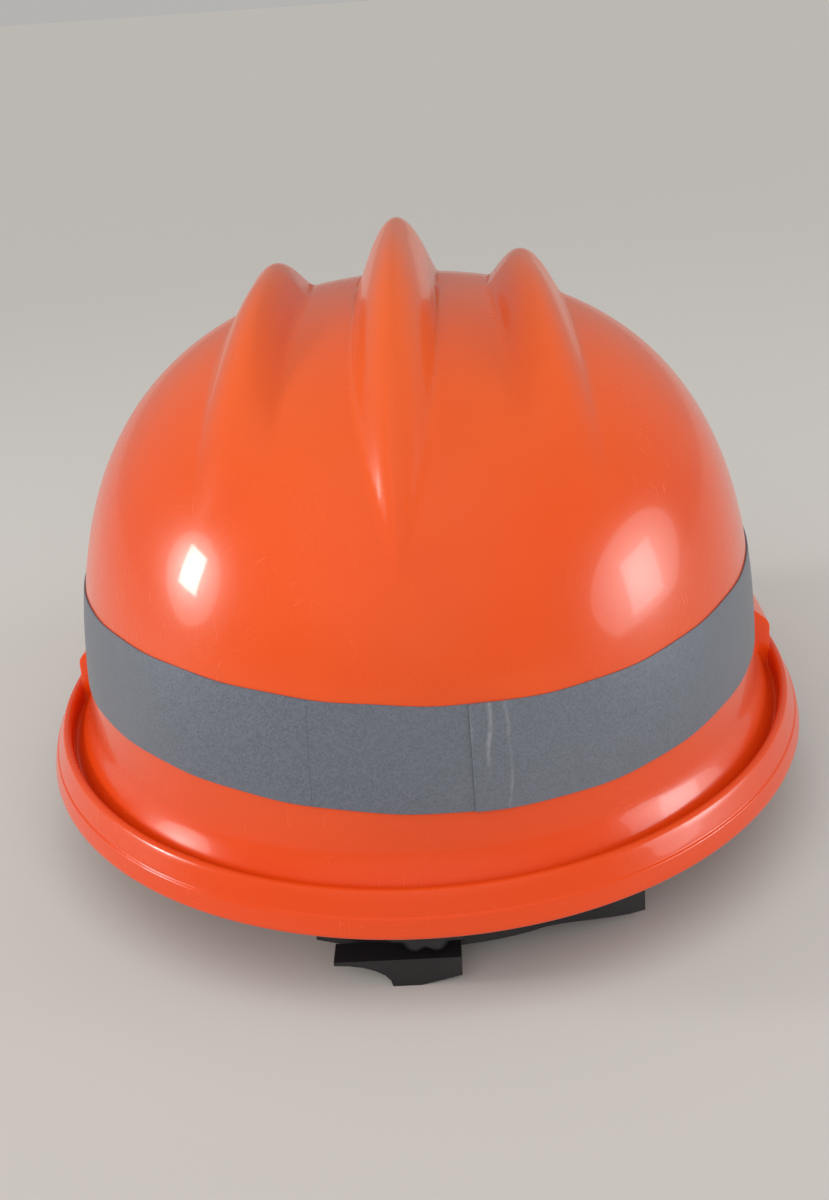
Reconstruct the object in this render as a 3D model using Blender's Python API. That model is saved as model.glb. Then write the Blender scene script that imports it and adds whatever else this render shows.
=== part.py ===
"""Forestry helmet: ridged shell with rain gutter, six-point strap cradle, headband and nape ratchet.

Row frame, metres: +X right, +Y towards the peak, +Z up. The helmet stands on the front edge of its
peak and on the foot of its nape ratchet, both at z = 0. Shell heights are given above the rim plane.
"""
import math

import bpy
from mathutils import Matrix, Vector

MM = 0.001

# ---------------------------------------------------------------- driving dimensions
RIM_Z = 24 * MM               # rim plane above the surface that the helmet stands on
DOME_Y = -15.5 * MM           # centre of the dome's plan outline
HALF_WIDTH = 97 * MM          # dome wall at the rim, outside
REAR_LENGTH = 116 * MM
FRONT_LENGTH = 122 * MM
DOME_HEIGHT = 125 * MM        # crown above the rim plane, between the ridges
DOME_POWER_Z = 3.1            # dome profile: (r ** q) + (z ** p) = 1
DOME_POWER_R = 2.4
WALL = 2.4 * MM
GAP = 0.3 * MM                # clearance kept between touching pieces
SHELL_SEGMENTS = 90
OUTER_RINGS = 19
INNER_RINGS = 10
DOME_EDGE = 84.7              # polar angle where the rim sections take over from the dome
DOME_FOOT = 89.2              # the same inside

# ridges along the crown
RIDGE_HEIGHT = 16.5 * MM
RIDGE_HALF_WIDTH = 11 * MM
RIDGE_REACH = 0.88            # ends at this share of the dome's length
RIDGE_SOFTNESS = 1.2
SIDE_RIDGE_X = 35 * MM
SIDE_RIDGE_SPREAD = 0.05      # how far a side ridge drifts outward per metre of length
SIDE_RIDGE_HEIGHT = 10 * MM
SIDE_RIDGE_HALF_WIDTH = 10.5 * MM
SIDE_RIDGE_REACH = 0.70
SIDE_RIDGE_SOFTNESS = 1.3

# rim: (outward offset from the wall, height above the rim plane), gutter and peak sections
GUTTER_SECTION = [
    (0.0, 20.0), (1.0, 14.5), (2.6, 9.8), (4.6, 6.8), (6.2, 5.6), (6.6, 7.2), (7.1, 9.9), (8.2, 10.9),
    (9.6, 10.4), (11.1, 6.3), (12.6, 2.2), (13.0, 0.8), (12.5, 0.0), (10.2, 0.0), (8.6, 2.3), (3.0, 2.5)]
PEAK_SECTION = [
    (0.0, 20.0), (0.0, 12.0), (0.6, 6.0), (3.0, 3.6), (10.0, 0.2), (18.0, -4.4), (25.0, -9.4), (30.0, -13.0),
    (32.5, -13.8), (35.0, -16.4), (37.2, -20.6), (38.0, -22.6), (37.6, -24.0), (35.0, -24.0), (31.0, -17.6),
    (14.0, -4.6)]
PEAK_START = 0.12             # sine of the plan angle where the gutter begins to turn into the peak
PEAK_FULL = 0.95

# reflective tape
TAPE_LOW = 25.6 * MM
TAPE_HIGH = 51.6 * MM
TAPE_THICKNESS = 0.5 * MM
TAPE_SPANS = {                # plan angles in degrees, anticlockwise from +X
    "reflective_tape_left": (90.6, 255.5),
    "reflective_tape_rear": (255.9, 280.6),
    "reflective_tape_right": (281.0, 449.4),
}
TAPE_RISES = (                # uneven height of the tape: plan angle, half width, rise
    (226, 50, 2.8 * MM),
    (296, 34, -1.7 * MM),
)

# accessory slots on both sides
SLOT_REAR_Y = -1 * MM
SLOT_LENGTH = 33 * MM
SLOT_FACE_X = 104.2 * MM
SLOT_TOP = 24.6 * MM
SLOT_TOP_OUTER = 18.5 * MM
SLOT_POCKET = (97.1 * MM, 102.5 * MM)
SLOT_POCKET_TOP = 19.5 * MM
SLOT_END_WALL = 3 * MM
SLOT_BOTTOM = 3.2 * MM
SLOT_STEP = 0.4 * MM          # the face stands back by this above the gutter's lip
SLOT_STEP_Z = 11.4 * MM

# strap keys and the pockets that hold them
KEY_ANGLES = {
    "front_right": 60, "front_left": 120, "side_left": 180,
    "rear_left": 240, "rear_right": 300, "side_right": 0,
}
BOSS_HALF_WIDTH = 13 * MM
BOSS_DEPTH = (-1.2 * MM, 6.4 * MM)
BOSS_Z = (4 * MM, 18 * MM)
POCKET_HALF_WIDTH = 10.4 * MM
POCKET_DEPTH = (2.0 * MM, 4.9 * MM)
POCKET_FLOOR = 7 * MM
KEY_DEPTH = (2.4 * MM, 4.5 * MM)
KEY_BLADE_HALF_WIDTH = 10 * MM
KEY_BODY_HALF_WIDTH = 13 * MM
KEY_Z = (7.4 * MM, 18.5 * MM, 36 * MM)
KEY_SLOT_Z = (28 * MM, 31.5 * MM)
KEY_SLOT_HALF_WIDTH = 9.8 * MM
POST_Z = 23.5 * MM
POST_RADIUS = 2 * MM
POST_DEPTH = 9 * MM

# crown straps
STRAP_WIDTH = 19 * MM
STRAP_THICKNESS = 1.4 * MM
STRAP_DEPTH = 5.7 * MM        # strap's middle inward of the shell wall, at its key
STRAP_FOOT_Z = 29 * MM
STRAP_APEX_Z = 88 * MM
STRAP_STEP = 2.1 * MM         # height between crossing straps
PATCH_RADIUS = 9.5 * MM
STRAPS = {
    "crown_strap_lower": ("side_left", "side_right"),
    "crown_strap_middle": ("front_left", "rear_right"),
    "crown_strap_upper": ("front_right", "rear_left"),
}

# headband, drawn in polar form about the nape centre
NAPE_Y = DOME_Y - 35 * MM
NAPE_RADIUS = 68.6 * MM
BROW_REACH = 134 * MM
BAND_SHAPE = 1.8
BAND_THICKNESS = 2.0 * MM
BAND_END = 72                 # degrees from the rear
BAND_REAR_Z = (-12 * MM, 9 * MM)
BAND_FRONT_Z = (3 * MM, 33 * MM)
PAD_THICKNESS = 4.0 * MM
BROW_PAD_HALF_ANGLE = 52
TAB_HALF_WIDTH = 5 * MM
TAB_THICKNESS = 1.6 * MM
TAB_DEPTH = 6.2 * MM
TABS = {"front_right": 157, "front_left": 203, "side_right": 117, "side_left": 243}   # band angles

# nape ratchet
AXLE_Z = -3 * MM
RACK_RADIUS = 66 * MM
RACK_THICKNESS = 2.0 * MM
GEAR_MODULE = 1.3 * MM
PINION_TEETH = 10
TOOTH_TIP = 0.7 * MM
TOOTH_ROOT = 1.0 * MM
TOOTH_BACKLASH = 0.4 * MM
PRESSURE_ANGLE = math.radians(20)
RACK_END = 88                 # degrees from the rear
RACK_TEETH = range(-4, 4)
RACK_WIDEN = (33, 40)
RACK_HEIGHT = 5.7 * MM
RACK_STRAP_HEIGHT = 21 * MM
HOUSING_HALF_ANGLE = 23
HOUSING_Z = (-18 * MM, 13 * MM)
HOUSING_WALL = 1.4 * MM
BASE_RADII = (62.6 * MM, 64.6 * MM, 68.4 * MM)
COVER_RADII = (68.8 * MM, 70.8 * MM)
FOOT_Y = (-104.6 * MM, -112.6 * MM)
FOOT_X = (-8.5 * MM, 8.5 * MM)
FOOT_FLAT_X = -1.5 * MM       # from here the foot's underside rises to its right edge
FOOT_RISE = 2.4 * MM
FOOT_FLARE_X = -22.5 * MM
WING_START = 18               # the cover's long right end, degrees from the rear
WING_END = 46
WING_FLARE = 8 * MM
WING_LOW = -22 * MM
WING_HIGH = -5 * MM
KNOB_RADIUS = 13 * MM
KNOB_FRONT = 71.5 * MM        # distances rearward from the nape centre
KNOB_BACK = 77.6 * MM
KNOB_LOBES = (12, 1.3 * MM)   # count and depth
KNOB_FACE_RADIUS = 9 * MM
KNOB_BEVEL_RADIUS = 11.8 * MM
SPRING_RECESS = (6.4 * MM, 10.4 * MM, 1.6 * MM)   # inner radius, outer radius, depth
SPRING_RADII = (6.9 * MM, 9.9 * MM)
SPRING_THICKNESS = 0.8 * MM
SHAFT_RADIUS = 3.6 * MM
SHAFT_END = 68.5 * MM
BORE_END = 75.4 * MM
PINION_REACH = (64.9 * MM, 67.8 * MM)
SCREW_RADIUS = 1.5 * MM
SCREW_HEAD_RADIUS = 3.2 * MM
SCREW_REACH = (63.2 * MM, 64.4 * MM, 74.8 * MM)   # head face, head shoulder, tip
CARRIER_RADII = (60.4 * MM, 62.2 * MM)
CARRIER_HALF_ANGLE = 42
CARRIER_Z = (-15 * MM, 8 * MM)
ARM_ANGLE = 37
ARM_HALF_ANGLE = 4.2
ARM_TOP = 34 * MM
PEG_RADIUS = 2 * MM
PEG_REST_Z = 30 * MM
NAPE_TRAVEL = 12 * MM
HANGER_RADII = (62.6 * MM, 64.2 * MM)
HANGER_Z = (13 * MM, 38 * MM)
BRIDGE_DEPTH = (4.9 * MM, 15.2 * MM)
BRIDGE_Z = (18.6 * MM, 28.2 * MM)
PEG_END = 66.4 * MM
SLOT_REACH = (58 * MM, 67.4 * MM)

COLOURS = {                   # base colour, roughness, metallic
    "shell": ((0.80, 0.09, 0.02, 1), 0.25, 0.0),
    "tape": ((0.17, 0.18, 0.19, 1), 0.5, 0.2),
    "webbing": ((0.03, 0.03, 0.035, 1), 0.8, 0.0),
    "plastic": ((0.02, 0.02, 0.022, 1), 0.4, 0.0),
    "foam": ((0.05, 0.05, 0.055, 1), 0.9, 0.0),
    "steel": ((0.55, 0.55, 0.56, 1), 0.3, 1.0),
    "gear": ((0.45, 0.45, 0.43, 1), 0.4, 0.0),
}


# ---------------------------------------------------------------- small tools
def material(slot):
    found = bpy.data.materials.get(slot)
    if found:
        return found
    made = bpy.data.materials.new(slot)
    made.use_nodes = True
    shader = made.node_tree.nodes["Principled BSDF"]
    colour, roughness, metallic = COLOURS[slot]
    shader.inputs["Base Color"].default_value = colour
    shader.inputs["Roughness"].default_value = roughness
    shader.inputs["Metallic"].default_value = metallic
    return made


def place(name, mesh, slot, origin=(0, 0, 0)):
    """Put a mesh given in row coordinates on an object whose origin is at the given point."""
    mesh.transform(Matrix.Translation(-Vector(origin)))
    mesh.materials.append(material(slot))
    mesh.shade_smooth()
    mesh.set_sharp_from_angle(angle=math.radians(35))
    made = bpy.data.objects.new(name, mesh)
    made.location = origin
    bpy.context.collection.objects.link(made)
    return made


def skin(name, rings, slot, origin=(0, 0, 0), closed=False):
    """Closed body through rings of points. A ring of one point is a pole; other ends get a cap."""
    points = [point for ring in rings for point in ring]
    starts = []
    total = 0
    for ring in rings:
        starts.append(total)
        total += len(ring)
    faces = []
    pairs = list(zip(range(len(rings) - 1), range(1, len(rings))))
    if closed:
        pairs.append((len(rings) - 1, 0))
    for near, far in pairs:
        count = max(len(rings[near]), len(rings[far]))
        for i in range(count):
            j = (i + 1) % count
            a, b = starts[near] + i % len(rings[near]), starts[near] + j % len(rings[near])
            c, d = starts[far] + j % len(rings[far]), starts[far] + i % len(rings[far])
            faces.append([k for n, k in enumerate((a, b, c, d)) if k not in (a, b, c, d)[:n]])
    if not closed:
        if len(rings[0]) > 1:
            faces.append(list(range(starts[0] + len(rings[0])))[::-1])
        if len(rings[-1]) > 1:
            faces.append(list(range(starts[-1], starts[-1] + len(rings[-1]))))
    mesh = bpy.data.meshes.new(name)
    mesh.from_pydata([tuple(point) for point in points], [], faces)
    face_outward(mesh)
    return place(name, mesh, slot, origin)


def face_outward(mesh):
    """Flip every face if the closed mesh encloses a negative volume."""
    volume = 0.0
    for polygon in mesh.polygons:
        corners = [mesh.vertices[i].co for i in polygon.vertices]
        for second, third in zip(corners[1:], corners[2:]):
            volume += corners[0].dot(second.cross(third))
    if volume < 0:
        mesh.flip_normals()


def helper(made):
    """Mark an object as a tool body that is not part of the helmet."""
    made.hide_render = True
    made.display_type = "WIRE"
    return made


def boolean(target, tool, operation):
    helper(tool)
    step = target.modifiers.new(operation.lower(), "BOOLEAN")
    step.operation = operation
    step.solver = "EXACT"
    step.object = tool


def row(x, y, height):
    """Row coordinates of a point given from the dome's centre and the rim plane."""
    return Vector((x, y + DOME_Y, height + RIM_Z))


def smooth_step(low, high, value):
    t = min(max((value - low) / (high - low), 0.0), 1.0)
    return t * t * (3 - 2 * t)


def mix(a, b, t):
    return a + (b - a) * t


# ---------------------------------------------------------------- shell
def plan_point(angle, share, offset=0.0):
    """Point of the dome's plan outline scaled by share, moved out by offset."""
    length = FRONT_LENGTH if math.sin(angle) > 0 else REAR_LENGTH
    x = (HALF_WIDTH * share + offset) * math.cos(angle)
    y = (length * share + offset) * math.sin(angle)
    return x, y


def dome_share(height):
    return (1 - (height / DOME_HEIGHT) ** DOME_POWER_Z) ** (1 / DOME_POWER_R)


def dome_point(angle, polar, inset=0.0):
    """Point of the smooth dome at a plan angle and a polar angle from the crown."""
    share = math.sin(polar)
    height = (DOME_HEIGHT - inset) * (1 - share ** DOME_POWER_R) ** (1 / DOME_POWER_Z)
    x, y = plan_point(angle, share, -inset * share)
    return Vector((x, y, height))


def ridge_height(x, y):
    """How far the three ridges stand out of the dome over a plan point."""
    length = FRONT_LENGTH if y > 0 else REAR_LENGTH
    along = abs(y) / (length * RIDGE_REACH)
    middle = 0.0
    if along < 1:
        width = RIDGE_HALF_WIDTH * (1 - along ** 5)
        across = min(abs(x) / width, 1.0)
        middle = RIDGE_HEIGHT * ((1 - along ** 3.2) * (1 - across ** 2)) ** RIDGE_SOFTNESS
    along = abs(y) / (length * SIDE_RIDGE_REACH)
    side = 0.0
    if along < 1:
        centre = SIDE_RIDGE_X + SIDE_RIDGE_SPREAD * abs(y)
        across = min(abs(abs(x) - centre) / SIDE_RIDGE_HALF_WIDTH, 1.0)
        side = SIDE_RIDGE_HEIGHT * ((1 - along ** 3.2) * (1 - across ** 2)) ** SIDE_RIDGE_SOFTNESS
    return middle + side


def dome_ring(polar, inset=0.0):
    ring = []
    for i in range(SHELL_SEGMENTS):
        angle = math.tau * i / SHELL_SEGMENTS
        point = dome_point(angle, polar, inset)
        lean = smooth_step(0.5, 1.5, polar)
        away = Vector((math.cos(angle) * lean, math.sin(angle) * lean, 1.15 - lean)).normalized()
        point += away * ridge_height(point.x, point.y)
        ring.append(row(*point))
    return ring


def rim_ring(index):
    ring = []
    for i in range(SHELL_SEGMENTS):
        angle = math.tau * i / SHELL_SEGMENTS
        front = smooth_step(PEAK_START, PEAK_FULL, math.sin(angle))
        offset = mix(GUTTER_SECTION[index][0], PEAK_SECTION[index][0], front) * MM
        height = mix(GUTTER_SECTION[index][1], PEAK_SECTION[index][1], front) * MM
        x, y = plan_point(angle, 1.0, offset)
        ring.append(row(x, y, height))
    return ring


def inner_foot_ring():
    ring = []
    for i in range(SHELL_SEGMENTS):
        x, y = plan_point(math.tau * i / SHELL_SEGMENTS, 1.0, -WALL)
        ring.append(row(x, y, 2.6 * MM))
    return ring


def build_shell():
    apex = DOME_HEIGHT + RIDGE_HEIGHT
    rings = [[row(0, 0, apex)]]
    for i in range(1, OUTER_RINGS + 1):
        rings.append(dome_ring(math.radians(DOME_EDGE * i / OUTER_RINGS)))
    for index in range(len(GUTTER_SECTION)):
        rings.append(rim_ring(index))
    rings.append(inner_foot_ring())
    for i in range(INNER_RINGS, 0, -1):
        rings.append(dome_ring(math.radians(DOME_FOOT * i / INNER_RINGS), WALL))
    rings.append([row(0, 0, apex - WALL)])
    shell = skin("shell", rings, "shell")
    shell.modifiers.new("flat_faces", "TRIANGULATE")
    for side in (-1, 1):
        boolean(shell, slot_lug(side), "UNION")
        boolean(shell, slot_pocket(side), "DIFFERENCE")
    for name, degrees in KEY_ANGLES.items():
        boolean(shell, key_boss(name, degrees), "UNION")


def slot_lug(side):
    """Block on the shell's side with a ramped top that houses an accessory slot."""
    stations = [SLOT_REAR_Y + SLOT_LENGTH * i / 4 for i in range(5)]
    rings = []
    for y in stations:
        wall_x = HALF_WIDTH * math.sqrt(1 - (y / FRONT_LENGTH) ** 2) - 1.2 * MM
        section = [(wall_x, SLOT_BOTTOM), (SLOT_FACE_X + SLOT_STEP, SLOT_BOTTOM),
                   (SLOT_FACE_X + SLOT_STEP, SLOT_STEP_Z - SLOT_STEP), (SLOT_FACE_X, SLOT_STEP_Z),
                   (SLOT_FACE_X, SLOT_TOP_OUTER), (wall_x, SLOT_TOP)]
        rings.append([row(side * x, y, z) for x, z in section])
    return skin("slot_lug", rings, "shell")


def slot_pocket(side):
    near, far = (side * x for x in SLOT_POCKET)
    rings = []
    for i in range(4):
        y = SLOT_REAR_Y + mix(SLOT_END_WALL, SLOT_LENGTH - SLOT_END_WALL, i / 3)
        rings.append([row(near, y, -5 * MM), row(far, y, -5 * MM),
                      row(far, y, SLOT_POCKET_TOP - 2 * MM), row(near, y, SLOT_POCKET_TOP)])
    return skin("slot_pocket", rings, "shell")


# ---------------------------------------------------------------- strap keys and crown straps
def key_frame(degrees):
    """Point on the inner wall at a key, with the directions along the wall and inward."""
    angle = math.radians(degrees)
    x, y = plan_point(angle, 1.0, -WALL)
    length = (FRONT_LENGTH if math.sin(angle) > 0 else REAR_LENGTH) - WALL
    inward = -Vector((math.cos(angle) / (HALF_WIDTH - WALL), math.sin(angle) / length, 0)).normalized()
    along = Vector((-inward.y, inward.x, 0))
    return row(x, y, 0), along, inward


def key_point(degrees, u, v, height):
    foot, along, inward = key_frame(degrees)
    return foot + along * u + inward * v + Vector((0, 0, height))


def key_block(name, degrees, half_width, depth, heights, slot="plastic"):
    rings = []
    corners = [(-half_width, depth[0]), (half_width, depth[0]),
               (half_width, depth[1]), (-half_width, depth[1])]
    for height in heights:
        rings.append([key_point(degrees, u, v, height) for u, v in corners])
    return skin(name, rings, slot)


def key_boss(name, degrees):
    """Pocket block on the inner wall that a strap key drops into from above."""
    boss = key_block("boss_" + name, degrees, BOSS_HALF_WIDTH, BOSS_DEPTH, BOSS_Z, "shell")
    pocket = key_block("pocket_" + name, degrees, POCKET_HALF_WIDTH, POCKET_DEPTH,
                       (POCKET_FLOOR, BOSS_Z[1] + 2 * MM), "shell")
    boolean(boss, pocket, "DIFFERENCE")
    return boss


def key_post(name, degrees, radius, depth):
    rings = []
    for v in depth:
        ring = []
        for i in range(12):
            turn = math.tau * i / 12
            across, height = radius * math.cos(turn), POST_Z + radius * math.sin(turn)
            ring.append(key_point(degrees, across, v, height))
        rings.append(ring)
    return skin(name, rings, "plastic")


def build_key(name, degrees):
    """T-shaped key: blade in the shell's pocket, webbing slot above, round post for the headband."""
    low, shoulder, high = KEY_Z
    half = [(KEY_BLADE_HALF_WIDTH - 1 * MM, low), (KEY_BLADE_HALF_WIDTH, low + 1.5 * MM),
            (KEY_BLADE_HALF_WIDTH, shoulder), (KEY_BODY_HALF_WIDTH, shoulder + 2 * MM),
            (KEY_BODY_HALF_WIDTH, high - 2 * MM), (KEY_BODY_HALF_WIDTH - 2 * MM, high)]
    outline = half + [(-u, height) for u, height in half[::-1]]
    rings = [[key_point(degrees, u, v, height) for u, height in outline] for v in KEY_DEPTH]
    key = skin("strap_key_" + name, rings, "plastic")
    slot = key_block("key_slot_" + name, degrees, KEY_SLOT_HALF_WIDTH, (0, 8 * MM), KEY_SLOT_Z)
    boolean(key, slot, "DIFFERENCE")
    post = key_post("key_post_" + name, degrees, POST_RADIUS, (KEY_DEPTH[0] + 1 * MM, POST_DEPTH))
    boolean(key, post, "UNION")


def build_strap(name, ends, layer):
    """Webbing from one key over the crown to the key opposite, on a quarter ellipse each side."""
    rings = []
    steps = 12
    apex = STRAP_APEX_Z + layer * STRAP_STEP
    for side, end in enumerate(ends):
        degrees = KEY_ANGLES[end]
        foot = key_point(degrees, 0, STRAP_DEPTH, 0)
        reach = Vector((foot.x, foot.y - DOME_Y, 0))
        away = reach.normalized()
        square = Vector((-away.y, away.x, 0))
        along = key_frame(degrees)[1]
        if along.dot(square) < 0:
            along = -along
        sign = 1 if side == 0 else -1
        half = []
        for i in range(steps + 1):
            turn = math.pi / 2 * i / steps
            out = away * (reach.length * math.cos(turn))
            centre = row(out.x, out.y, mix(STRAP_FOOT_Z, apex, math.sin(turn)))
            slope = away * (-reach.length * math.sin(turn))
            slope.z = (apex - STRAP_FOOT_Z) * math.cos(turn)
            across = along.lerp(square, smooth_step(0, 0.6, turn)).normalized() * (STRAP_WIDTH / 2 * sign)
            normal = across.cross(slope).normalized() * (STRAP_THICKNESS / 2 * sign)
            half.append([centre - across - normal, centre + across - normal,
                         centre + across + normal, centre - across + normal])
        rings += half if side == 0 else half[-2::-1]
    return skin(name, rings, "webbing")


def build_crown_joint():
    """Round patch that is sewn over the crossing of the straps."""
    base = STRAP_APEX_Z + 2 * STRAP_STEP + STRAP_THICKNESS / 2 + GAP
    bulge = 0.5 * MM
    rings = []
    for radius, rise in ((PATCH_RADIUS - bulge, 0), (PATCH_RADIUS, bulge), (PATCH_RADIUS - bulge, 1.2 * MM)):
        ring = []
        for i in range(24):
            turn = math.tau * i / 24
            ring.append(row(radius * math.cos(turn), radius * math.sin(turn), base + rise))
        rings.append(ring)
    return skin("crown_joint_patch", rings, "webbing")


# ---------------------------------------------------------------- headband
def nape_point(radius, degrees, height):
    """Point about the nape centre; 0 degrees is straight to the rear, positive towards +X."""
    turn = math.radians(degrees)
    return Vector((radius * math.sin(turn), NAPE_Y - radius * math.cos(turn), height + RIM_Z))


def band_radius(degrees):
    opened = math.sin(math.radians(max(abs(degrees) - 90, 0)))
    return NAPE_RADIUS + (BROW_REACH - NAPE_RADIUS) * opened ** BAND_SHAPE


def band_edges(degrees):
    front = smooth_step(80, 130, abs(degrees))
    return mix(BAND_REAR_Z[0], BAND_FRONT_Z[0], front), mix(BAND_REAR_Z[1], BAND_FRONT_Z[1], front)


def band_ring(degrees, inner, outer, low_trim=0.0, high_trim=0.0):
    signed = degrees if degrees <= 180 else degrees - 360
    low, high = band_edges(signed)
    radius = band_radius(signed)
    corners = [(inner, low + low_trim), (outer, low + low_trim),
               (outer, high - high_trim), (inner, high - high_trim)]
    return [nape_point(radius + r, degrees, z) for r, z in corners]


def tab_strip(name, degrees, band_degrees):
    """Moulded tab from the headband's upper edge out to the post of a strap key."""
    signed = band_degrees if band_degrees <= 180 else band_degrees - 360
    root = nape_point(band_radius(signed), band_degrees, band_edges(signed)[1] - 7 * MM)
    along = key_frame(degrees)[1]
    inward = key_frame(degrees)[2]
    top = key_point(degrees, 0, TAB_DEPTH, POST_Z + 4.5 * MM)
    low = key_point(degrees, 0, TAB_DEPTH, POST_Z - 4.5 * MM)
    knee = root.lerp(low, 0.85)
    half = along * TAB_HALF_WIDTH
    thick = inward * TAB_THICKNESS
    rise = Vector((0, 0, TAB_THICKNESS))
    rings = []
    for centre, step in ((root, rise), (knee, rise + thick * 0.4), (low, thick), (top, thick)):
        rings.append([centre - half, centre + half, centre + half + step, centre - half + step])
    return skin(name, rings, "plastic")


def build_headband():
    rings = []
    count = 40
    for i in range(count + 1):
        degrees = mix(BAND_END, 360 - BAND_END, i / count)
        rings.append(band_ring(degrees, -BAND_THICKNESS / 2, BAND_THICKNESS / 2))
    band = skin("headband", rings, "plastic")
    for name, band_degrees in TABS.items():
        boolean(band, tab_strip("tab_" + name, KEY_ANGLES[name], band_degrees), "UNION")
        hole_depth = (TAB_DEPTH - 1.3 * MM, TAB_DEPTH + 5.8 * MM)
        hole = key_post("tab_hole_" + name, KEY_ANGLES[name], POST_RADIUS + GAP, hole_depth)
        boolean(band, hole, "DIFFERENCE")


def build_brow_pad():
    rings = []
    count = 18
    outer = -BAND_THICKNESS / 2 - GAP
    for i in range(count + 1):
        degrees = 180 + BROW_PAD_HALF_ANGLE * (2 * i / count - 1)
        rings.append(band_ring(degrees, outer - PAD_THICKNESS, outer, -1.5 * MM, -0.5 * MM))
    return skin("brow_pad", rings, "foam")


# ---------------------------------------------------------------- nape ratchet
NAPE_CENTRE = (0, NAPE_Y, AXLE_Z + RIM_Z)
AXLE_POINT = (0, NAPE_Y - COVER_RADII[1], AXLE_Z + RIM_Z)
PITCH_RADIUS = GEAR_MODULE * PINION_TEETH / 2


def arc_rings(radii, half_angle, heights, count=12, middle=0.0):
    corners = [(radii[0], heights[0]), (radii[1], heights[0]), (radii[1], heights[1]), (radii[0], heights[1])]
    rings = []
    for i in range(count + 1):
        degrees = middle + half_angle * (2 * i / count - 1)
        rings.append([nape_point(r, degrees, z) for r, z in corners])
    return rings


def tooth_half_widths():
    """Half width of a rack tooth at its tip and at its root."""
    half = math.pi * GEAR_MODULE / 4 - TOOTH_BACKLASH / 2
    return half - TOOTH_TIP * math.tan(PRESSURE_ANGLE), half + TOOTH_ROOT * math.tan(PRESSURE_ANGLE)


def rack_tooth_edge(arc):
    """Height of the rack's toothed edge above its pitch line at a place along its arc."""
    pitch = math.pi * GEAR_MODULE
    place_in_tooth = abs((arc / pitch + 0.5) % 1.0 - 0.5) * pitch
    half_tip, half_root = tooth_half_widths()
    share = min(max((place_in_tooth - half_tip) / (half_root - half_tip), 0.0), 1.0)
    return mix(TOOTH_TIP, -TOOTH_ROOT, share)


def rack_stations():
    """Places along the arc, in degrees: every tooth corner, then the plain strap."""
    half_tip, half_root = tooth_half_widths()
    arcs = []
    for tooth in RACK_TEETH:
        centre = tooth * math.pi * GEAR_MODULE
        arcs += [centre - half_root, centre - half_tip, centre + half_tip, centre + half_root]
    degrees = [math.degrees(arc / RACK_RADIUS) for arc in arcs]
    plain = [RACK_WIDEN[0] - 9, RACK_WIDEN[0]]
    plain += [mix(*RACK_WIDEN, 0.3), mix(*RACK_WIDEN, 0.7), RACK_WIDEN[1]]
    plain += [mix(RACK_WIDEN[1], RACK_END, (i + 1) / 9) for i in range(9)]
    return [degrees[0] - 1.0] + degrees + plain


def build_rack(name, side):
    """Toothed strap: the left one runs over the pinion, the right one under it."""
    up = -side
    inner, outer = RACK_RADIUS - RACK_THICKNESS / 2, RACK_RADIUS + RACK_THICKNESS / 2
    rings = []
    for degrees in rack_stations():
        toothed = degrees < RACK_WIDEN[0] - 15
        edge = rack_tooth_edge(math.radians(degrees) * RACK_RADIUS) if toothed else -TOOTH_ROOT
        widen = smooth_step(*RACK_WIDEN, degrees)
        end_trim = 3 * MM * smooth_step(RACK_END - 5, RACK_END, degrees)
        near = PITCH_RADIUS - edge - widen * (RACK_STRAP_HEIGHT - RACK_HEIGHT) + end_trim
        far = PITCH_RADIUS + TOOTH_ROOT + RACK_HEIGHT - end_trim
        low, high = sorted((AXLE_Z + up * near, AXLE_Z + up * far))
        corners = ((inner, low), (outer, low), (outer, high), (inner, high))
        rings.append([nape_point(r, side * degrees, z) for r, z in corners])
    return skin(name, rings, "plastic", NAPE_CENTRE)


def build_ratchet_base():
    """Channel, open to the rear, that guides both racks."""
    low, high = HOUSING_Z
    inner, floor, outer = BASE_RADII
    section = [(inner, low), (outer, low), (outer, low + HOUSING_WALL), (floor, low + HOUSING_WALL),
               (floor, high - HOUSING_WALL), (outer, high - HOUSING_WALL), (outer, high), (inner, high)]
    rings = []
    count = 12
    for i in range(count + 1):
        degrees = HOUSING_HALF_ANGLE * (2 * i / count - 1)
        rings.append([nape_point(r, degrees, z) for r, z in section])
    base = skin("ratchet_base", rings, "plastic")
    reach = (inner - 3 * MM, floor + 1 * MM)
    access = [axle_ring(SCREW_HEAD_RADIUS + 2 * GAP, rearward, 20) for rearward in reach]
    boolean(base, skin("screw_access", access, "plastic"), "DIFFERENCE")


def axle_point(rearward):
    """Point on the knob's axle at a distance rearward from the nape centre."""
    return Vector((0, NAPE_Y - rearward, AXLE_Z + RIM_Z))


def axle_ring(radius, rearward, count, lobes=None):
    """Ring about the knob's axle; lobes give the count and depth of the scallops."""
    ring = []
    for i in range(count):
        turn = math.tau * i / count
        r = radius if lobes is None else radius - lobes[1] * (0.5 + 0.5 * math.cos(turn * lobes[0]))
        ring.append(axle_point(rearward) + Vector((r * math.cos(turn), 0, r * math.sin(turn))))
    return ring


def wing_rings():
    """The cover's long right end: it flares outward and drops towards its tip."""
    count = 8
    rings = []
    for i in range(count + 1):
        degrees = mix(WING_START, WING_END, i / count)
        share = smooth_step(HOUSING_HALF_ANGLE, WING_END + 8, degrees)
        inner = COVER_RADII[0] + 0.1 * MM + WING_FLARE * share
        outer = COVER_RADII[1] - 0.1 * MM + WING_FLARE * share
        low = mix(HOUSING_Z[0] + 0.1 * MM, WING_LOW, share)
        corners = ((inner, low), (outer, low), (outer, WING_HIGH), (inner, WING_HIGH))
        rings.append([nape_point(r, degrees, z) for r, z in corners])
    return rings


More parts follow.
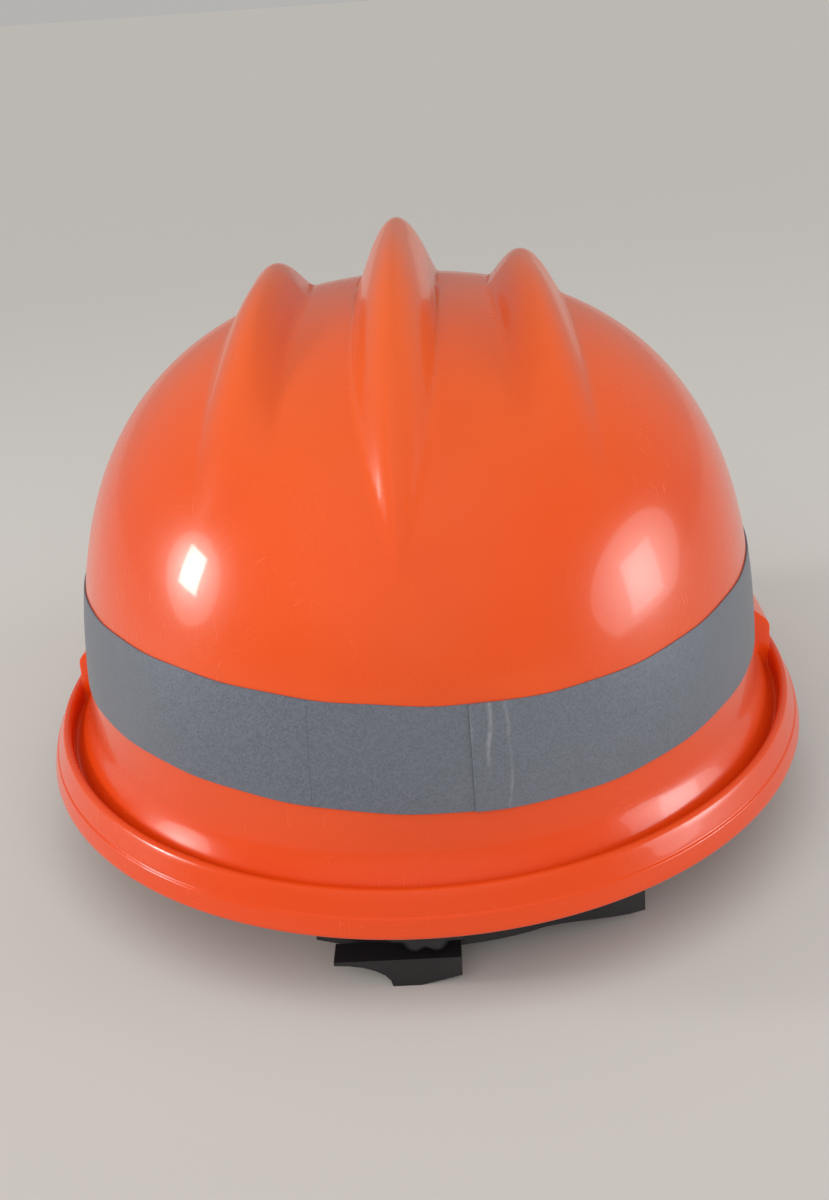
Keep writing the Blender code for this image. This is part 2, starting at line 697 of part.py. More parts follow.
def foot_outline():
    """Outline of the foot seen from behind: flared left side, flat underside that rises to the right."""
    floor = -RIM_Z
    top = HOUSING_Z[0] + 1.6 * MM
    outline = [(FOOT_X[1], top), (FOOT_X[1], floor + FOOT_RISE), (FOOT_FLAT_X, floor), (FOOT_X[0], floor)]
    steps = 6
    for i in range(1, steps + 1):
        turn = math.pi / 2 * i / steps
        x = mix(FOOT_X[0], FOOT_FLARE_X, 1 - math.cos(turn))
        outline.append((x, mix(floor, top - 1 * MM, math.sin(turn))))
    return outline + [(FOOT_FLARE_X, top)]


def build_ratchet_cover():
    """Rear plate of the ratchet with the axle hole, and the foot that the helmet stands on."""
    cover = skin("ratchet_cover", arc_rings(COVER_RADII, HOUSING_HALF_ANGLE, HOUSING_Z), "plastic")
    boolean(cover, skin("cover_wing", wing_rings(), "plastic"), "UNION")
    foot = [[row(x, y, z) for x, z in foot_outline()] for y in FOOT_Y]
    boolean(cover, skin("cover_foot", foot, "plastic"), "UNION")
    reach = (COVER_RADII[0] - 3 * MM, COVER_RADII[1] + 3 * MM)
    hole = [axle_ring(SHAFT_RADIUS + GAP, rearward, 24) for rearward in reach]
    boolean(cover, skin("axle_hole", hole, "plastic"), "DIFFERENCE")


def build_knob():
    """Grip knob with scalloped edge, spring recess and the shaft that reaches the pinion."""
    count = 60
    recess_inner, recess_outer, depth = SPRING_RECESS
    bore = SCREW_RADIUS + GAP
    rings = [
        [axle_point(KNOB_BACK)],
        axle_ring(KNOB_FACE_RADIUS, KNOB_BACK, count),
        axle_ring(KNOB_BEVEL_RADIUS, KNOB_BACK - 0.5 * MM, count, KNOB_LOBES),
        axle_ring(KNOB_RADIUS, KNOB_BACK - 1.8 * MM, count, KNOB_LOBES),
        axle_ring(KNOB_RADIUS, KNOB_FRONT, count, KNOB_LOBES),
        axle_ring(recess_outer, KNOB_FRONT, count),
        axle_ring(recess_outer, KNOB_FRONT + depth, count),
        axle_ring(recess_inner, KNOB_FRONT + depth, count),
        axle_ring(recess_inner, KNOB_FRONT, count),
        axle_ring(SHAFT_RADIUS, KNOB_FRONT, count),
        axle_ring(SHAFT_RADIUS, SHAFT_END, count),
        axle_ring(bore, SHAFT_END, count),
        axle_ring(bore, BORE_END, count),
        [axle_point(BORE_END)],
    ]
    return skin("ratchet_knob", rings, "plastic", AXLE_POINT)


def build_detent_spring():
    front = KNOB_FRONT + GAP
    back = front + SPRING_THICKNESS
    near, far = SPRING_RADII
    corners = ((near, front), (far, front), (far, back), (near, back))
    rings = [axle_ring(radius, rearward, 30) for radius, rearward in corners]
    return skin("detent_spring", rings, "steel", closed=True)


def involute(r):
    """Involute function of the pressure angle at radius r."""
    slant = math.acos(min(PITCH_RADIUS * math.cos(PRESSURE_ANGLE) / r, 1.0))
    return math.tan(slant) - slant


def pinion_outline():
    """Involute stub teeth, the first gap facing straight up so that both racks are in mesh."""
    base = PITCH_RADIUS * math.cos(PRESSURE_ANGLE)
    radii = (PITCH_RADIUS - TOOTH_ROOT, base, PITCH_RADIUS, PITCH_RADIUS + TOOTH_TIP)
    half_tooth = (math.pi * GEAR_MODULE / 2 - TOOTH_BACKLASH) / (2 * PITCH_RADIUS)
    flank = [(r, half_tooth + involute(PITCH_RADIUS) - involute(max(r, base))) for r in radii]
    outline = []
    for tooth in range(PINION_TEETH):
        middle = math.pi / 2 + math.tau * (tooth + 0.5) / PINION_TEETH
        outline += [(r, middle - half) for r, half in flank]
        outline += [(r, middle + half) for r, half in flank[::-1]]
    return outline


def build_pinion():
    near, far = PINION_REACH
    rings = []
    for bored, rearward in ((False, far), (False, near), (True, near), (True, far)):
        ring = []
        for r, turn in pinion_outline():
            radius = SCREW_RADIUS + GAP if bored else r
            across = Vector((radius * math.cos(turn), 0, radius * math.sin(turn)))
            ring.append(axle_point(rearward) + across)
        rings.append(ring)
    return skin("ratchet_pinion", rings, "gear", AXLE_POINT, closed=True)


def build_screw():
    count = 20
    face, shoulder, tip = SCREW_REACH
    rings = [
        axle_ring(SCREW_RADIUS, tip, count),
        axle_ring(SCREW_RADIUS, shoulder, count),
        axle_ring(SCREW_HEAD_RADIUS, shoulder, count),
        axle_ring(SCREW_HEAD_RADIUS - 0.8 * MM, face, count),
    ]
    return skin("axle_screw", rings, "steel", AXLE_POINT)


def build_carrier():
    """Curved nape plate with two upright arms whose pegs ride in the rear hangers."""
    plate = arc_rings(CARRIER_RADII, CARRIER_HALF_ANGLE, CARRIER_Z, 20)
    carrier = skin("nape_carrier", plate, "plastic")
    inner, outer = CARRIER_RADII
    arm_radii = (inner + 0.05 * MM, outer - 0.05 * MM)
    for side in (-1, 1):
        arm = arc_rings(arm_radii, ARM_HALF_ANGLE, (0, ARM_TOP), 2, side * ARM_ANGLE)
        boolean(carrier, skin("carrier_arm", arm, "plastic"), "UNION")
        peg = peg_rings(PEG_RADIUS, (inner + 1 * MM, PEG_END), side)
        boolean(carrier, skin("carrier_peg", peg, "plastic"), "UNION")


def peg_rings(radius, reach, side, drop=0.0):
    """Round or slotted section along a radius of the nape centre at an arm."""
    foot = nape_point(0, 0, PEG_REST_Z)
    turn = math.radians(side * ARM_ANGLE)
    away = Vector((math.sin(turn), -math.cos(turn), 0))
    across = Vector((away.y, -away.x, 0))
    rings = []
    for r in reach:
        ring = []
        for i in range(16):
            angle = math.tau * (i + 0.5) / 16
            lower = drop if math.sin(angle) < 0 else 0.0
            rise = Vector((0, 0, radius * math.sin(angle) - lower))
            ring.append(foot + away * r + across * (radius * math.cos(angle)) + rise)
        rings.append(ring)
    return rings


def build_hanger(name, key_name, side):
    """Slotted plate that hangs from a rear strap key and guides the nape carrier's peg."""
    degrees = KEY_ANGLES[key_name]
    plate = arc_rings(HANGER_RADII, ARM_HALF_ANGLE, HANGER_Z, 2, side * ARM_ANGLE)
    hanger = skin(name, plate, "plastic")
    bridge = key_block("bridge_" + name, degrees, TAB_HALF_WIDTH, BRIDGE_DEPTH, BRIDGE_Z)
    boolean(hanger, bridge, "UNION")
    hole_depth = (BRIDGE_DEPTH[0] - 1 * MM, POST_DEPTH + GAP)
    hole = key_post("hanger_hole_" + name, degrees, POST_RADIUS + GAP, hole_depth)
    boolean(hanger, hole, "DIFFERENCE")
    slot = peg_rings(PEG_RADIUS + GAP, SLOT_REACH, side, NAPE_TRAVEL)
    boolean(hanger, skin("hanger_slot_" + name, slot, "plastic"), "DIFFERENCE")


def build_nape_pad():
    radii = (CARRIER_RADII[0] - GAP - PAD_THICKNESS, CARRIER_RADII[0] - GAP)
    heights = (CARRIER_Z[0] + 1 * MM, CARRIER_Z[1] - 1 * MM)
    return skin("nape_pad", arc_rings(radii, CARRIER_HALF_ANGLE - 4, heights, 14), "foam")


# ---------------------------------------------------------------- reflective tape
def tape_rise(degrees):
    rise = 0.0
    for middle, half_width, height in TAPE_RISES:
        away = min(abs(degrees - middle) / half_width, 1.0)
        rise += height * (1 - away ** 2) ** 2
    return rise


def build_tape(name, span):
    """Band of reflective tape that follows the dome wall."""
    rings = []
    count = max(4, round((span[1] - span[0]) / 5))
    for i in range(count + 1):
        degrees = mix(span[0], span[1], i / count)
        angle = math.radians(degrees)
        heights = [mix(TAPE_LOW, TAPE_HIGH, k / 2) + tape_rise(degrees) for k in range(3)]
        ring = []
        for offset, order in ((GAP, heights), (GAP + TAPE_THICKNESS, heights[::-1])):
            for height in order:
                x, y = plan_point(angle, dome_share(height), offset + 0.1 * MM)
                ring.append(row(x, y, height))
        rings.append(ring)
    return skin(name, rings, "tape")


def main():
    for leftover in list(bpy.data.objects):
        bpy.data.objects.remove(leftover, do_unlink=True)
    build_shell()
    for name, span in TAPE_SPANS.items():
        build_tape(name, span)
    for name, degrees in KEY_ANGLES.items():
        build_key(name, degrees)
    for layer, (name, ends) in enumerate(STRAPS.items()):
        build_strap(name, ends, layer)
    build_crown_joint()
    build_headband()
    build_brow_pad()
    build_rack("rack_left", -1)
    build_rack("rack_right", 1)
    build_ratchet_base()
    build_ratchet_cover()
    build_knob()
    build_detent_spring()
    build_pinion()
    build_screw()
    build_carrier()
    build_hanger("rear_hanger_left", "rear_left", -1)
    build_hanger("rear_hanger_right", "rear_right", 1)
    build_nape_pad()


main()
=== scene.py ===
"""Looks of the forestry helmet: glossy orange shell, reflective tape, webbing cradle, pads and ratchet.

Heights of the shell are given above its rim plane and plan positions from the dome's centre, as on the
CAD model. Everything is in metres in the shared frame: +X right, +Y to the peak, +Z up.
"""
import math

import bmesh
import bpy
import numpy as np
from mathutils import Matrix, Vector


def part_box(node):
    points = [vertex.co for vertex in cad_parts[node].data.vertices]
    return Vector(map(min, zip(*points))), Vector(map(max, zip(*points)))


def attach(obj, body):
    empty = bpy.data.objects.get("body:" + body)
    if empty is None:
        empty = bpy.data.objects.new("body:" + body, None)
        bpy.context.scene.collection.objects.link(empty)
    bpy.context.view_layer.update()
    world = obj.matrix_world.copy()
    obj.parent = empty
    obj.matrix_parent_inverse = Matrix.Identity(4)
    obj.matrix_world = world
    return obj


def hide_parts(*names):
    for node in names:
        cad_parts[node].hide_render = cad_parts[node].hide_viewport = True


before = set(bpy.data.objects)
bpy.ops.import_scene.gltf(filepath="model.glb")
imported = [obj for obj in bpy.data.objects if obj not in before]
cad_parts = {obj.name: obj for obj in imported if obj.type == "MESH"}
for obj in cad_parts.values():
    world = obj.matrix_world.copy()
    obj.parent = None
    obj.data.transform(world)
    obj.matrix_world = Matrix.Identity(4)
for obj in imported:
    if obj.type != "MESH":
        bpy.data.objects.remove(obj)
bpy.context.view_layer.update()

MM = 0.001

# ---------------------------------------------------------------- sizes shared with the CAD model
SHELL_LOW, SHELL_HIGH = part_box("shell")
HALF_WIDTH = 97 * MM
REAR_LENGTH = 116 * MM
FRONT_LENGTH = 122 * MM
DOME_HEIGHT = 125 * MM
DOME_POWER_Z = 3.1
DOME_POWER_R = 2.4
WALL = 2.4 * MM
RIM_FLARE = 13 * MM
RIDGE_HEIGHT = 16.5 * MM
RIM_Z = SHELL_HIGH.z - DOME_HEIGHT - RIDGE_HEIGHT
DOME_Y = SHELL_LOW.y + REAR_LENGTH + RIM_FLARE

RIDGE_HALF_WIDTH = 11 * MM
RIDGE_THINNEST = 0.1 * MM
RIDGE_REACH = 0.91            # share of the dome's length that the ridge covers
RIDGE_TAPER = 5               # the higher these two powers, the later the width and the height
RIDGE_ARCH = 2.9              # fall off towards the ridge's ends
RIDGE_LEAN = (0.5, 1.5)       # polar angles in radians between which the ridges come to stand outward
RIDGE_LIFT = 1.15
RIDGE_SOFTNESS = 1.2
RIDGE_END_SOFTNESS = 1.45
SIDE_RIDGE_X = 35 * MM
SIDE_RIDGE_SPREAD = 0.05
SIDE_RIDGE_HEIGHT = 10 * MM
SIDE_RIDGE_HALF_WIDTH = 10.5 * MM
SIDE_RIDGE_REACH = 0.70
SIDE_RIDGE_SOFTNESS = 1.3

PEAK_START = 0.12
PEAK_FULL = 0.95
SECTION_TOP = 28 * MM         # the rim sections take over from the dome below this height
INNER_EDGE_Z = 4 * MM         # the inside of the dome reaches down to here
LUG_DEPTH = 7.2 * MM
LUG_FACE_X = 104.2 * MM
LUG_FOOT = 11.1 * MM
LUG_POCKET_X = (97.1 * MM, 102.5 * MM)
LUG_POCKET_Y = (2 * MM, 29 * MM)
LUG_POCKET_TOP = (19.5 * MM, 17.5 * MM)
LUG_POCKET_MOUTH = -5 * MM
LUG_Y = (-1 * MM, 32 * MM)
LUG_FILLET = 0.9 * MM
LUG_FILLET_STEPS = 7
LUG_CLEARING = math.radians(0.3)      # even angles this near to the fillets' own are left out
PALE_CROWN_Z = (82 * MM, 138 * MM)  # the shell's colour is palest above, and deepest below the skirt heights, where shade is painted into it
SKIRT_SHADE_Z = (8 * MM, 36 * MM)

# (outward offset, height) in millimetres of the raised lip and the underside, which two sections share
LIP = [(7.6, 10.6), (8.4, 10.9), (9.2, 10.7), (9.65, 10.1), (10.5, 7.9), (11.35, 5.7), (11.5, 5.2),
       (11.95, 4.9), (12.1, 4.4), (12.7, 2.2), (13.0, 0.9), (12.9, 0.2), (12.4, 0.0), (10.6, 0.0),
       (10.0, 0.3), (8.6, 2.2), (7.6, 2.5), (3.0, 2.5), (-1.4, 2.5), (-2.2, 2.6), (-2.4, 3.4)]
# the rim's section at the rear gutter, at the peak and at a slot lug
RIM_SECTIONS = {
    "gutter": [(0, 28), (0, 25), (0.1, 21.5), (0.45, 18.0), (0.9, 15.5), (1.65, 13.4), (2.65, 11.4),
               (3.65, 9.6), (4.55, 7.9), (5.25, 6.6), (5.75, 5.8), (6.2, 5.6), (6.5, 5.95), (6.65, 7.0),
               (6.85, 8.6), (7.15, 9.8)] + LIP,
    "peak": [(0, 28), (0, 25), (0, 21), (0, 17), (0, 13), (0, 10), (0.3, 8), (1.2, 6.2), (2.8, 4.7),
             (5.0, 3.3), (9.0, 1.2), (13.0, -1.2), (17.0, -3.8), (21.0, -6.5), (25.0, -9.3), (28.5, -11.8),
             (30.5, -13.0), (32.0, -13.5), (33.4, -14.2), (34.4, -15.3), (35.8, -17.6), (36.6, -19.3),
             (37.0, -20.2), (37.3, -20.9), (37.5, -21.5), (37.8, -22.4), (38.0, -23.2), (37.9, -23.8),
             (37.4, -24.0), (35.4, -24.0), (34.6, -23.4), (31.8, -18.8), (29.6, -15.9), (14.0, -4.6),
             (1.0, 1.4), (-1.6, 2.4), (-2.4, 3.4)],
    "lug": [(0, 28), (0.1, 25.8), (0.5, 24.4), (1.9, 23.2), (4.0, 21.5), (5.6, 20.1), (6.5, 19.2),
            (7.0, 18.2), (7.2, 17.2), (7.2, 16.4), (7.2, 15.6), (7.2, 14.8), (7.2, 14.0), (7.2, 13.2),
            (7.2, 12.4), (7.2, 11.6)] + LIP,
}


# ---------------------------------------------------------------- small tools
def row(x, y, height):
    """Points of the shared frame from plan positions about the dome's centre and heights above the rim."""
    return np.stack(np.broadcast_arrays(x, y + DOME_Y, height + RIM_Z), axis=-1)


def smooth_step(low, high, value):
    t = np.clip((value - low) / (high - low), 0.0, 1.0)
    return t * t * (3 - 2 * t)


def mix(a, b, t):
    """From a at t = 0 to b at t = 1."""
    return a + (b - a) * t


def round_corners(points, times=2):
    """Cut the corners of an open line of points, keeping its two ends."""
    for _ in range(times):
        near, far = points[:-1], points[1:]
        cut = np.empty((2 * len(near),) + points.shape[1:])
        cut[0::2] = near * 0.75 + far * 0.25
        cut[1::2] = near * 0.25 + far * 0.75
        points = np.concatenate([points[:1], cut, points[-1:]])
    return points


def add_mesh(name, points, faces, paint, sharp=40, smooth=True):
    mesh = bpy.data.meshes.new(name)
    mesh.from_pydata(np.asarray(points).tolist(), [], faces)
    mesh.materials.append(paint)
    if smooth:
        mesh.shade_smooth()
        mesh.set_sharp_from_angle(angle=math.radians(sharp))
    made = bpy.data.objects.new(name, mesh)
    bpy.context.collection.objects.link(made)
    return made


def loft(name, rings, paint, sharp=40, poles=(None, None), closed=False, weave=None):
    """Closed body through rings (stations, ring points, 3); poles close the ends to single points.

    weave holds the distance along each station and round each ring point, for woven materials."""
    rings = np.asarray(rings)
    stations, around = rings.shape[:2]
    points = rings.reshape(-1, 3)
    i, j = np.meshgrid(np.arange(stations if closed else stations - 1), np.arange(around), indexing="ij")
    k, m = (j + 1) % around, (i + 1) % stations
    quads = np.stack([i * around + j, i * around + k, m * around + k, m * around + j], -1).reshape(-1, 4)
    faces = quads.tolist()
    if not closed:
        for end, base, pole in ((0, 0, poles[0]), (1, (stations - 1) * around, poles[1])):
            loop = list(range(base, base + around))
            if pole is None:
                faces.append(loop if end else loop[::-1])
            else:
                tip = len(points)
                points = np.concatenate([points, [pole]])
                for n in range(around):
                    pair = [loop[n], loop[(n + 1) % around]]
                    faces.append((pair if end else pair[::-1]) + [tip])
    made = add_mesh(name, points, faces, paint, sharp)
    face_outward(made.data)
    if weave is not None:
        lay_weave(made.data, *weave)
    return made


def face_outward(mesh):
    solid = bmesh.new()
    solid.from_mesh(mesh)
    if solid.calc_volume(signed=True) < 0:
        bmesh.ops.reverse_faces(solid, faces=solid.faces)
        solid.to_mesh(mesh)
    solid.free()


def lay_weave(mesh, along, around):
    """Point attribute in millimetres that a woven material follows."""
    spots = np.zeros((len(mesh.vertices), 3))
    grid = np.stack(np.broadcast_arrays(along[:, None], around[None, :]), -1).reshape(-1, 2) / MM
    spots[:len(grid), :2] = grid
    layer = mesh.attributes.new("weave", "FLOAT_VECTOR", "POINT")
    layer.data.foreach_set("vector", spots.ravel())


def settled(made):
    """Apply an object's modifiers."""
    graph = bpy.context.evaluated_depsgraph_get()
    mesh = bpy.data.meshes.new_from_object(made.evaluated_get(graph))
    made.modifiers.clear()
    made.data = mesh
    return made


def join(name, parts):
    """One object from several; the materials of the first are kept."""
    solid = bmesh.new()
    for part in parts:
        solid.from_mesh(part.data)
    first = parts[0]
    solid.to_mesh(first.data)
    solid.free()
    for part in parts[1:]:
        bpy.data.objects.remove(part)
    first.name = name
    return first


def cut(target, tools, operation="DIFFERENCE", sharp=40):
    """Cut tool bodies, which don't overlap, out of the target and remove them."""
    tool = join("cutter", tools)
    step = target.modifiers.new("cut", "BOOLEAN")
    step.operation = operation
    step.solver = "MANIFOLD"
    step.object = tool
    before = len(target.data.vertices)
    settled(target)
    if len(target.data.vertices) in (0, before):
        raise RuntimeError("the cut did nothing to " + target.name)
    bpy.data.objects.remove(tool)
    target.data.shade_smooth()
    target.data.set_sharp_from_angle(angle=math.radians(sharp))
    return target


def soften(node, width):
    """Rounded edges on a CAD node, whose own vertices stay as they are."""
    weld = node.modifiers.new("weld", "WELD")
    weld.merge_threshold = 0.00001
    bevel = node.modifiers.new("round_edges", "BEVEL")
    bevel.width = width
    bevel.segments = 2
    bevel.limit_method = "ANGLE"
    bevel.angle_limit = math.radians(32)
    bevel.use_clamp_overlap = True
    bevel.harden_normals = True


def rounded_box(u, v, radius, steps=3):
    """Outline of a rectangle from u[0] to u[1] and v[0] to v[1] with round corners."""
    outline = []
    corners = ((u[1], v[1], 0), (u[0], v[1], 90), (u[0], v[0], 180), (u[1], v[0], 270))
    for corner_u, corner_v, start in corners:
        mid_u = corner_u - radius * (1 if corner_u == u[1] else -1)
        mid_v = corner_v - radius * (1 if corner_v == v[1] else -1)
        for i in range(steps + 1):
            turn = math.radians(start + 90 * i / steps)
            outline.append((mid_u + radius * math.cos(turn), mid_v + radius * math.sin(turn)))
    return outline


# ---------------------------------------------------------------- materials
MIX_A, MIX_B, MIX_RESULT = 6, 7, 2      # a Mix node's sockets for colours
ORANGE = (0.82, 0.088, 0.009, 1)
ORANGE_CLOUD = (0.76, 0.073, 0.007, 1)
ORANGE_PALE_CROWN = (0.79, 0.125, 0.024, 1)
# painted shade of the lower skirt and lip
ORANGE_PAINTED_SHADE = (0.74, 0.060, 0.004, 1)
ORANGE_SCRATCHED = (0.90, 0.30, 0.14, 1)
SCRATCH_WAYS = ((150, (1, 11, 1), (0.3, 0.2, 0.4)), (130, (13, 1, 1), (0.5, 0.1, 1.1)),
                (170, (1, 1, 12), (0.2, 0.7, 0.3)))     # scale, stretch and turn of the noise
FILM_DARK = (0.124, 0.138, 0.168, 1)
FILM_LIGHT = (0.173, 0.192, 0.234, 1)
FILM_HANDLED = (0.25, 0.26, 0.28, 1)
# painted highlight along the tape's creases
FILM_CREASE_HIGHLIGHT = (0.42, 0.43, 0.46, 1)
BEAD_SCALE = 2600
STEEL_DARK = (0.42, 0.42, 0.43, 1)
STEEL_LIGHT = (0.60, 0.60, 0.61, 1)
STEEL_STAIN = (0.30, 0.24, 0.19, 1)
BLACK = (0.016, 0.016, 0.018, 1)
BLACK_YARN = (0.012, 0.012, 0.014, 1)
BLACK_YARN_LIT = (0.050, 0.050, 0.056, 1)
PAD_YARN_LIT = (0.070, 0.070, 0.076, 1)
GREY_THREAD = (0.10, 0.10, 0.11, 1)
GREY_THREAD_LIT = (0.20, 0.20, 0.21, 1)
ACETAL = (0.55, 0.54, 0.50, 1)


class Paint:
    """A Principled material whose nodes are added one call at a time."""

    def __init__(self, name, **sockets):
        self.material = bpy.data.materials.new(name)
        self.material.use_nodes = True
        self.tree = self.material.node_tree
        self.shader = self.tree.nodes["Principled BSDF"]
        for socket, value in sockets.items():
            self.shader.inputs[socket.replace("_", " ")].default_value = value
        self.place = self.add("ShaderNodeTexCoord").outputs["Object"]

    def add(self, kind, inputs=None, **settings):
        node = self.tree.nodes.new(kind)
        for key, value in settings.items():
            setattr(node, key, value)
        for key, value in (inputs or {}).items():
            self.feed(node.inputs[key], value)
        return node

    def feed(self, socket, value):
        if isinstance(value, bpy.types.NodeSocket):
            self.tree.links.new(value, socket)
        else:
            socket.default_value = value

    def noise(self, scale, detail=3.0, stretch=(1, 1, 1), turn=(0, 0, 0)):
        mapped = self.add("ShaderNodeMapping", {"Vector": self.place, "Scale": stretch, "Rotation": turn})
        made = self.add("ShaderNodeTexNoise", {"Vector": mapped.outputs[0], "Scale": scale, "Detail": detail})
        return made.outputs["Fac"]

    def remap(self, value, low, high, to_low=0.0, to_high=1.0):
        made = self.add("ShaderNodeMapRange", {"Value": value, "From Min": low, "From Max": high,
                                               "To Min": to_low, "To Max": to_high})
        return made.outputs[0]

    def math(self, operation, a, b=0.0):
        made = self.add("ShaderNodeMath", {0: a, 1: b}, operation=operation)
        return made.outputs[0]

    def blend(self, factor, a, b):
        made = self.add("ShaderNodeMix", {"Factor": factor}, data_type="RGBA")
        self.feed(made.inputs[MIX_A], a)
        self.feed(made.inputs[MIX_B], b)
        return made.outputs[MIX_RESULT]

    def bump(self, height, distance, strength=1.0, below=None):
        inputs = {"Height": height, "Distance": distance, "Strength": strength}
        if below is not None:
            inputs["Normal"] = below
        return self.add("ShaderNodeBump", inputs).outputs[0]

    def finish(self, **sockets):
        for socket, value in sockets.items():
            self.feed(self.shader.inputs[socket.replace("_", " ")], value)
        return self.material


def shell_paint():
    """Glossy orange plastic, paler towards the crown, with painted shade that makes the skirt deeper."""
    paint = Paint("shell_orange", IOR=1.5, Coat_Weight=0.35, Coat_Roughness=0.05, Specular_IOR_Level=0.4)
    cloudy = paint.noise(22, 4)
    colour = paint.blend(paint.remap(cloudy, 0.3, 0.7), ORANGE, ORANGE_CLOUD)
    height = paint.add("ShaderNodeSeparateXYZ", {"Vector": paint.place}).outputs[2]
    paler_up = paint.remap(height, RIM_Z + PALE_CROWN_Z[0], RIM_Z + PALE_CROWN_Z[1])
    colour = paint.blend(paler_up, colour, ORANGE_PALE_CROWN)
    # painted shade: the lower skirt and lip are painted darker and deeper towards the rim
    skirt_shade = paint.remap(height, RIM_Z + SKIRT_SHADE_Z[1], RIM_Z + SKIRT_SHADE_Z[0])
    colour = paint.blend(skirt_shade, colour, ORANGE_PAINTED_SHADE)
    scratches = None
    for scale, stretch, turn in SCRATCH_WAYS:
        line = paint.remap(paint.noise(scale, 1.0, stretch, turn=turn), 0.72, 0.77)
        scratches = line if scratches is None else paint.math("MAXIMUM", scratches, line)
    patchy = paint.remap(paint.noise(35, 2), 0.50, 0.66)
    scratches = paint.math("MULTIPLY", scratches, patchy)
    colour = paint.blend(paint.math("MULTIPLY", scratches, 0.12), colour, ORANGE_SCRATCHED)
    smudge = paint.remap(paint.noise(14, 5), 0.35, 0.75, 0.22, 0.34)
    rough = paint.math("ADD", smudge, paint.math("MULTIPLY", scratches, 0.2))
    peel = paint.bump(paint.noise(120, 2), 0.00008, 0.4, paint.bump(paint.noise(28, 2), 0.0006, 0.12))
    normal = paint.bump(scratches, 0.00004, 0.2, peel)
    return paint.finish(Base_Color=colour, Roughness=rough, Normal=normal)


def tape_paint():
    """Film of fine glass beads on a cool grey base, with faint handling marks and a painted highlight along
    its raised creases.
    """
    paint = Paint("reflective_film", Metallic=0.25, IOR=1.5, Specular_IOR_Level=0.4)
    cells = paint.add("ShaderNodeTexVoronoi", {"Vector": paint.place, "Scale": BEAD_SCALE})
    grain = paint.add("ShaderNodeSeparateColor", {"Color": cells.outputs["Color"]}).outputs[0]
    mottle = paint.noise(9, 6)
    colour = paint.blend(grain, FILM_DARK, FILM_LIGHT)
    colour = paint.blend(paint.remap(mottle, 0.45, 0.8, 0.0, 0.35), colour, FILM_HANDLED)
    # painted highlight: pale lines on the creases, broken up by noise
    creased = paint.add("ShaderNodeAttribute", attribute_name="crease").outputs["Fac"]
    highlight_breakup = paint.remap(paint.noise(420, 3), 0.35, 0.65, 0.15, 0.55)
    colour = paint.blend(paint.math("MULTIPLY", creased, highlight_breakup), colour, FILM_CREASE_HIGHLIGHT)
    rough = paint.remap(grain, 0.0, 1.0, 0.34, 0.46)
    normal = paint.bump(grain, 0.00003, 0.5, paint.bump(paint.noise(60, 3), 0.0002, 0.2))
    return paint.finish(Base_Color=colour, Roughness=rough, Normal=normal)


def plastic_paint(name, colour, rough):
    """Satin moulded plastic with a spark-eroded grain and rubbed patches."""
    paint = Paint(name, IOR=1.5, Specular_IOR_Level=0.5)
    rubbed = paint.remap(paint.noise(60, 4), 0.45, 0.75)
    lighter = tuple(min(1.0, c * 1.6 + 0.006) for c in colour[:3]) + (1,)
    mixed = paint.blend(paint.math("MULTIPLY", rubbed, 0.5), colour, lighter)
    roughness = paint.remap(rubbed, 0, 1, rough, rough - 0.12)
    normal = paint.bump(paint.noise(3200, 2), 0.00004, 0.5)
    return paint.finish(Base_Color=mixed, Roughness=roughness, Normal=normal)


def woven_paint(name, dark, light, pitch, depth, rough):
    """Plain weave: threads along and across the weave attribute pass over and under each other.

    The pitch of the threads is in millimetres and the depth of their relief in metres."""
    paint = Paint(name, IOR=1.45, Sheen_Weight=0.25, Sheen_Roughness=0.4, Specular_IOR_Level=0.3)
    spot = paint.add("ShaderNodeAttribute", attribute_name="weave").outputs["Vector"]
    split = paint.add("ShaderNodeSeparateXYZ", {"Vector": spot})
    across = paint.math("SINE", paint.math("MULTIPLY", split.outputs[0], math.pi / pitch))
    along = paint.math("SINE", paint.math("MULTIPLY", split.outputs[1], math.pi / pitch))
    over = paint.remap(paint.math("MULTIPLY", across, along), -1, 1)
    ribs = paint.math("MULTIPLY", paint.math("ABSOLUTE", across), paint.math("ABSOLUTE", along))
    threads = paint.math("ADD", paint.math("MULTIPLY", over, 0.6), paint.math("MULTIPLY", ribs, 0.4))
    fuzz = paint.noise(900, 4)
    worn = paint.remap(paint.noise(70, 4), 0.40, 0.75)
    colour = paint.blend(threads, dark, light)
    fluff = tuple(c * 1.5 for c in light[:3]) + (1,)
    colour = paint.blend(paint.math("MULTIPLY", worn, 0.35), colour, fluff)
    normal = paint.bump(fuzz, 0.00008, 0.4, paint.bump(threads, depth, 0.9))
    roughness = paint.remap(fuzz, 0.3, 0.7, rough - 0.08, rough)
    return paint.finish(Base_Color=colour, Roughness=roughness, Normal=normal)


def steel_paint():
    paint = Paint("spring_steel", Metallic=1.0, Specular_IOR_Level=0.5)
    brushed = paint.noise(90, 3, (1, 30, 1))
    stain = paint.remap(paint.noise(240, 3), 0.55, 0.75)
    colour = paint.blend(brushed, STEEL_DARK, STEEL_LIGHT)
    colour = paint.blend(paint.math("MULTIPLY", stain, 0.5), colour, STEEL_STAIN)
    roughness = paint.remap(brushed, 0.3, 0.7, 0.22, 0.38)
    return paint.finish(Base_Color=colour, Roughness=roughness, Normal=paint.bump(brushed, 0.00003, 0.4))


# ---------------------------------------------------------------- shell
OUTSIDE_RINGS = 120
INSIDE_RINGS = 60


def plan_point(angle, share, offset=0.0):
    """Plan position on the shell's egg-shaped outline, shrunk to a share and moved out by an offset."""
    length = np.where(np.sin(angle) > 0, FRONT_LENGTH, REAR_LENGTH)
    return (HALF_WIDTH * share + offset) * np.cos(angle), (length * share + offset) * np.sin(angle)


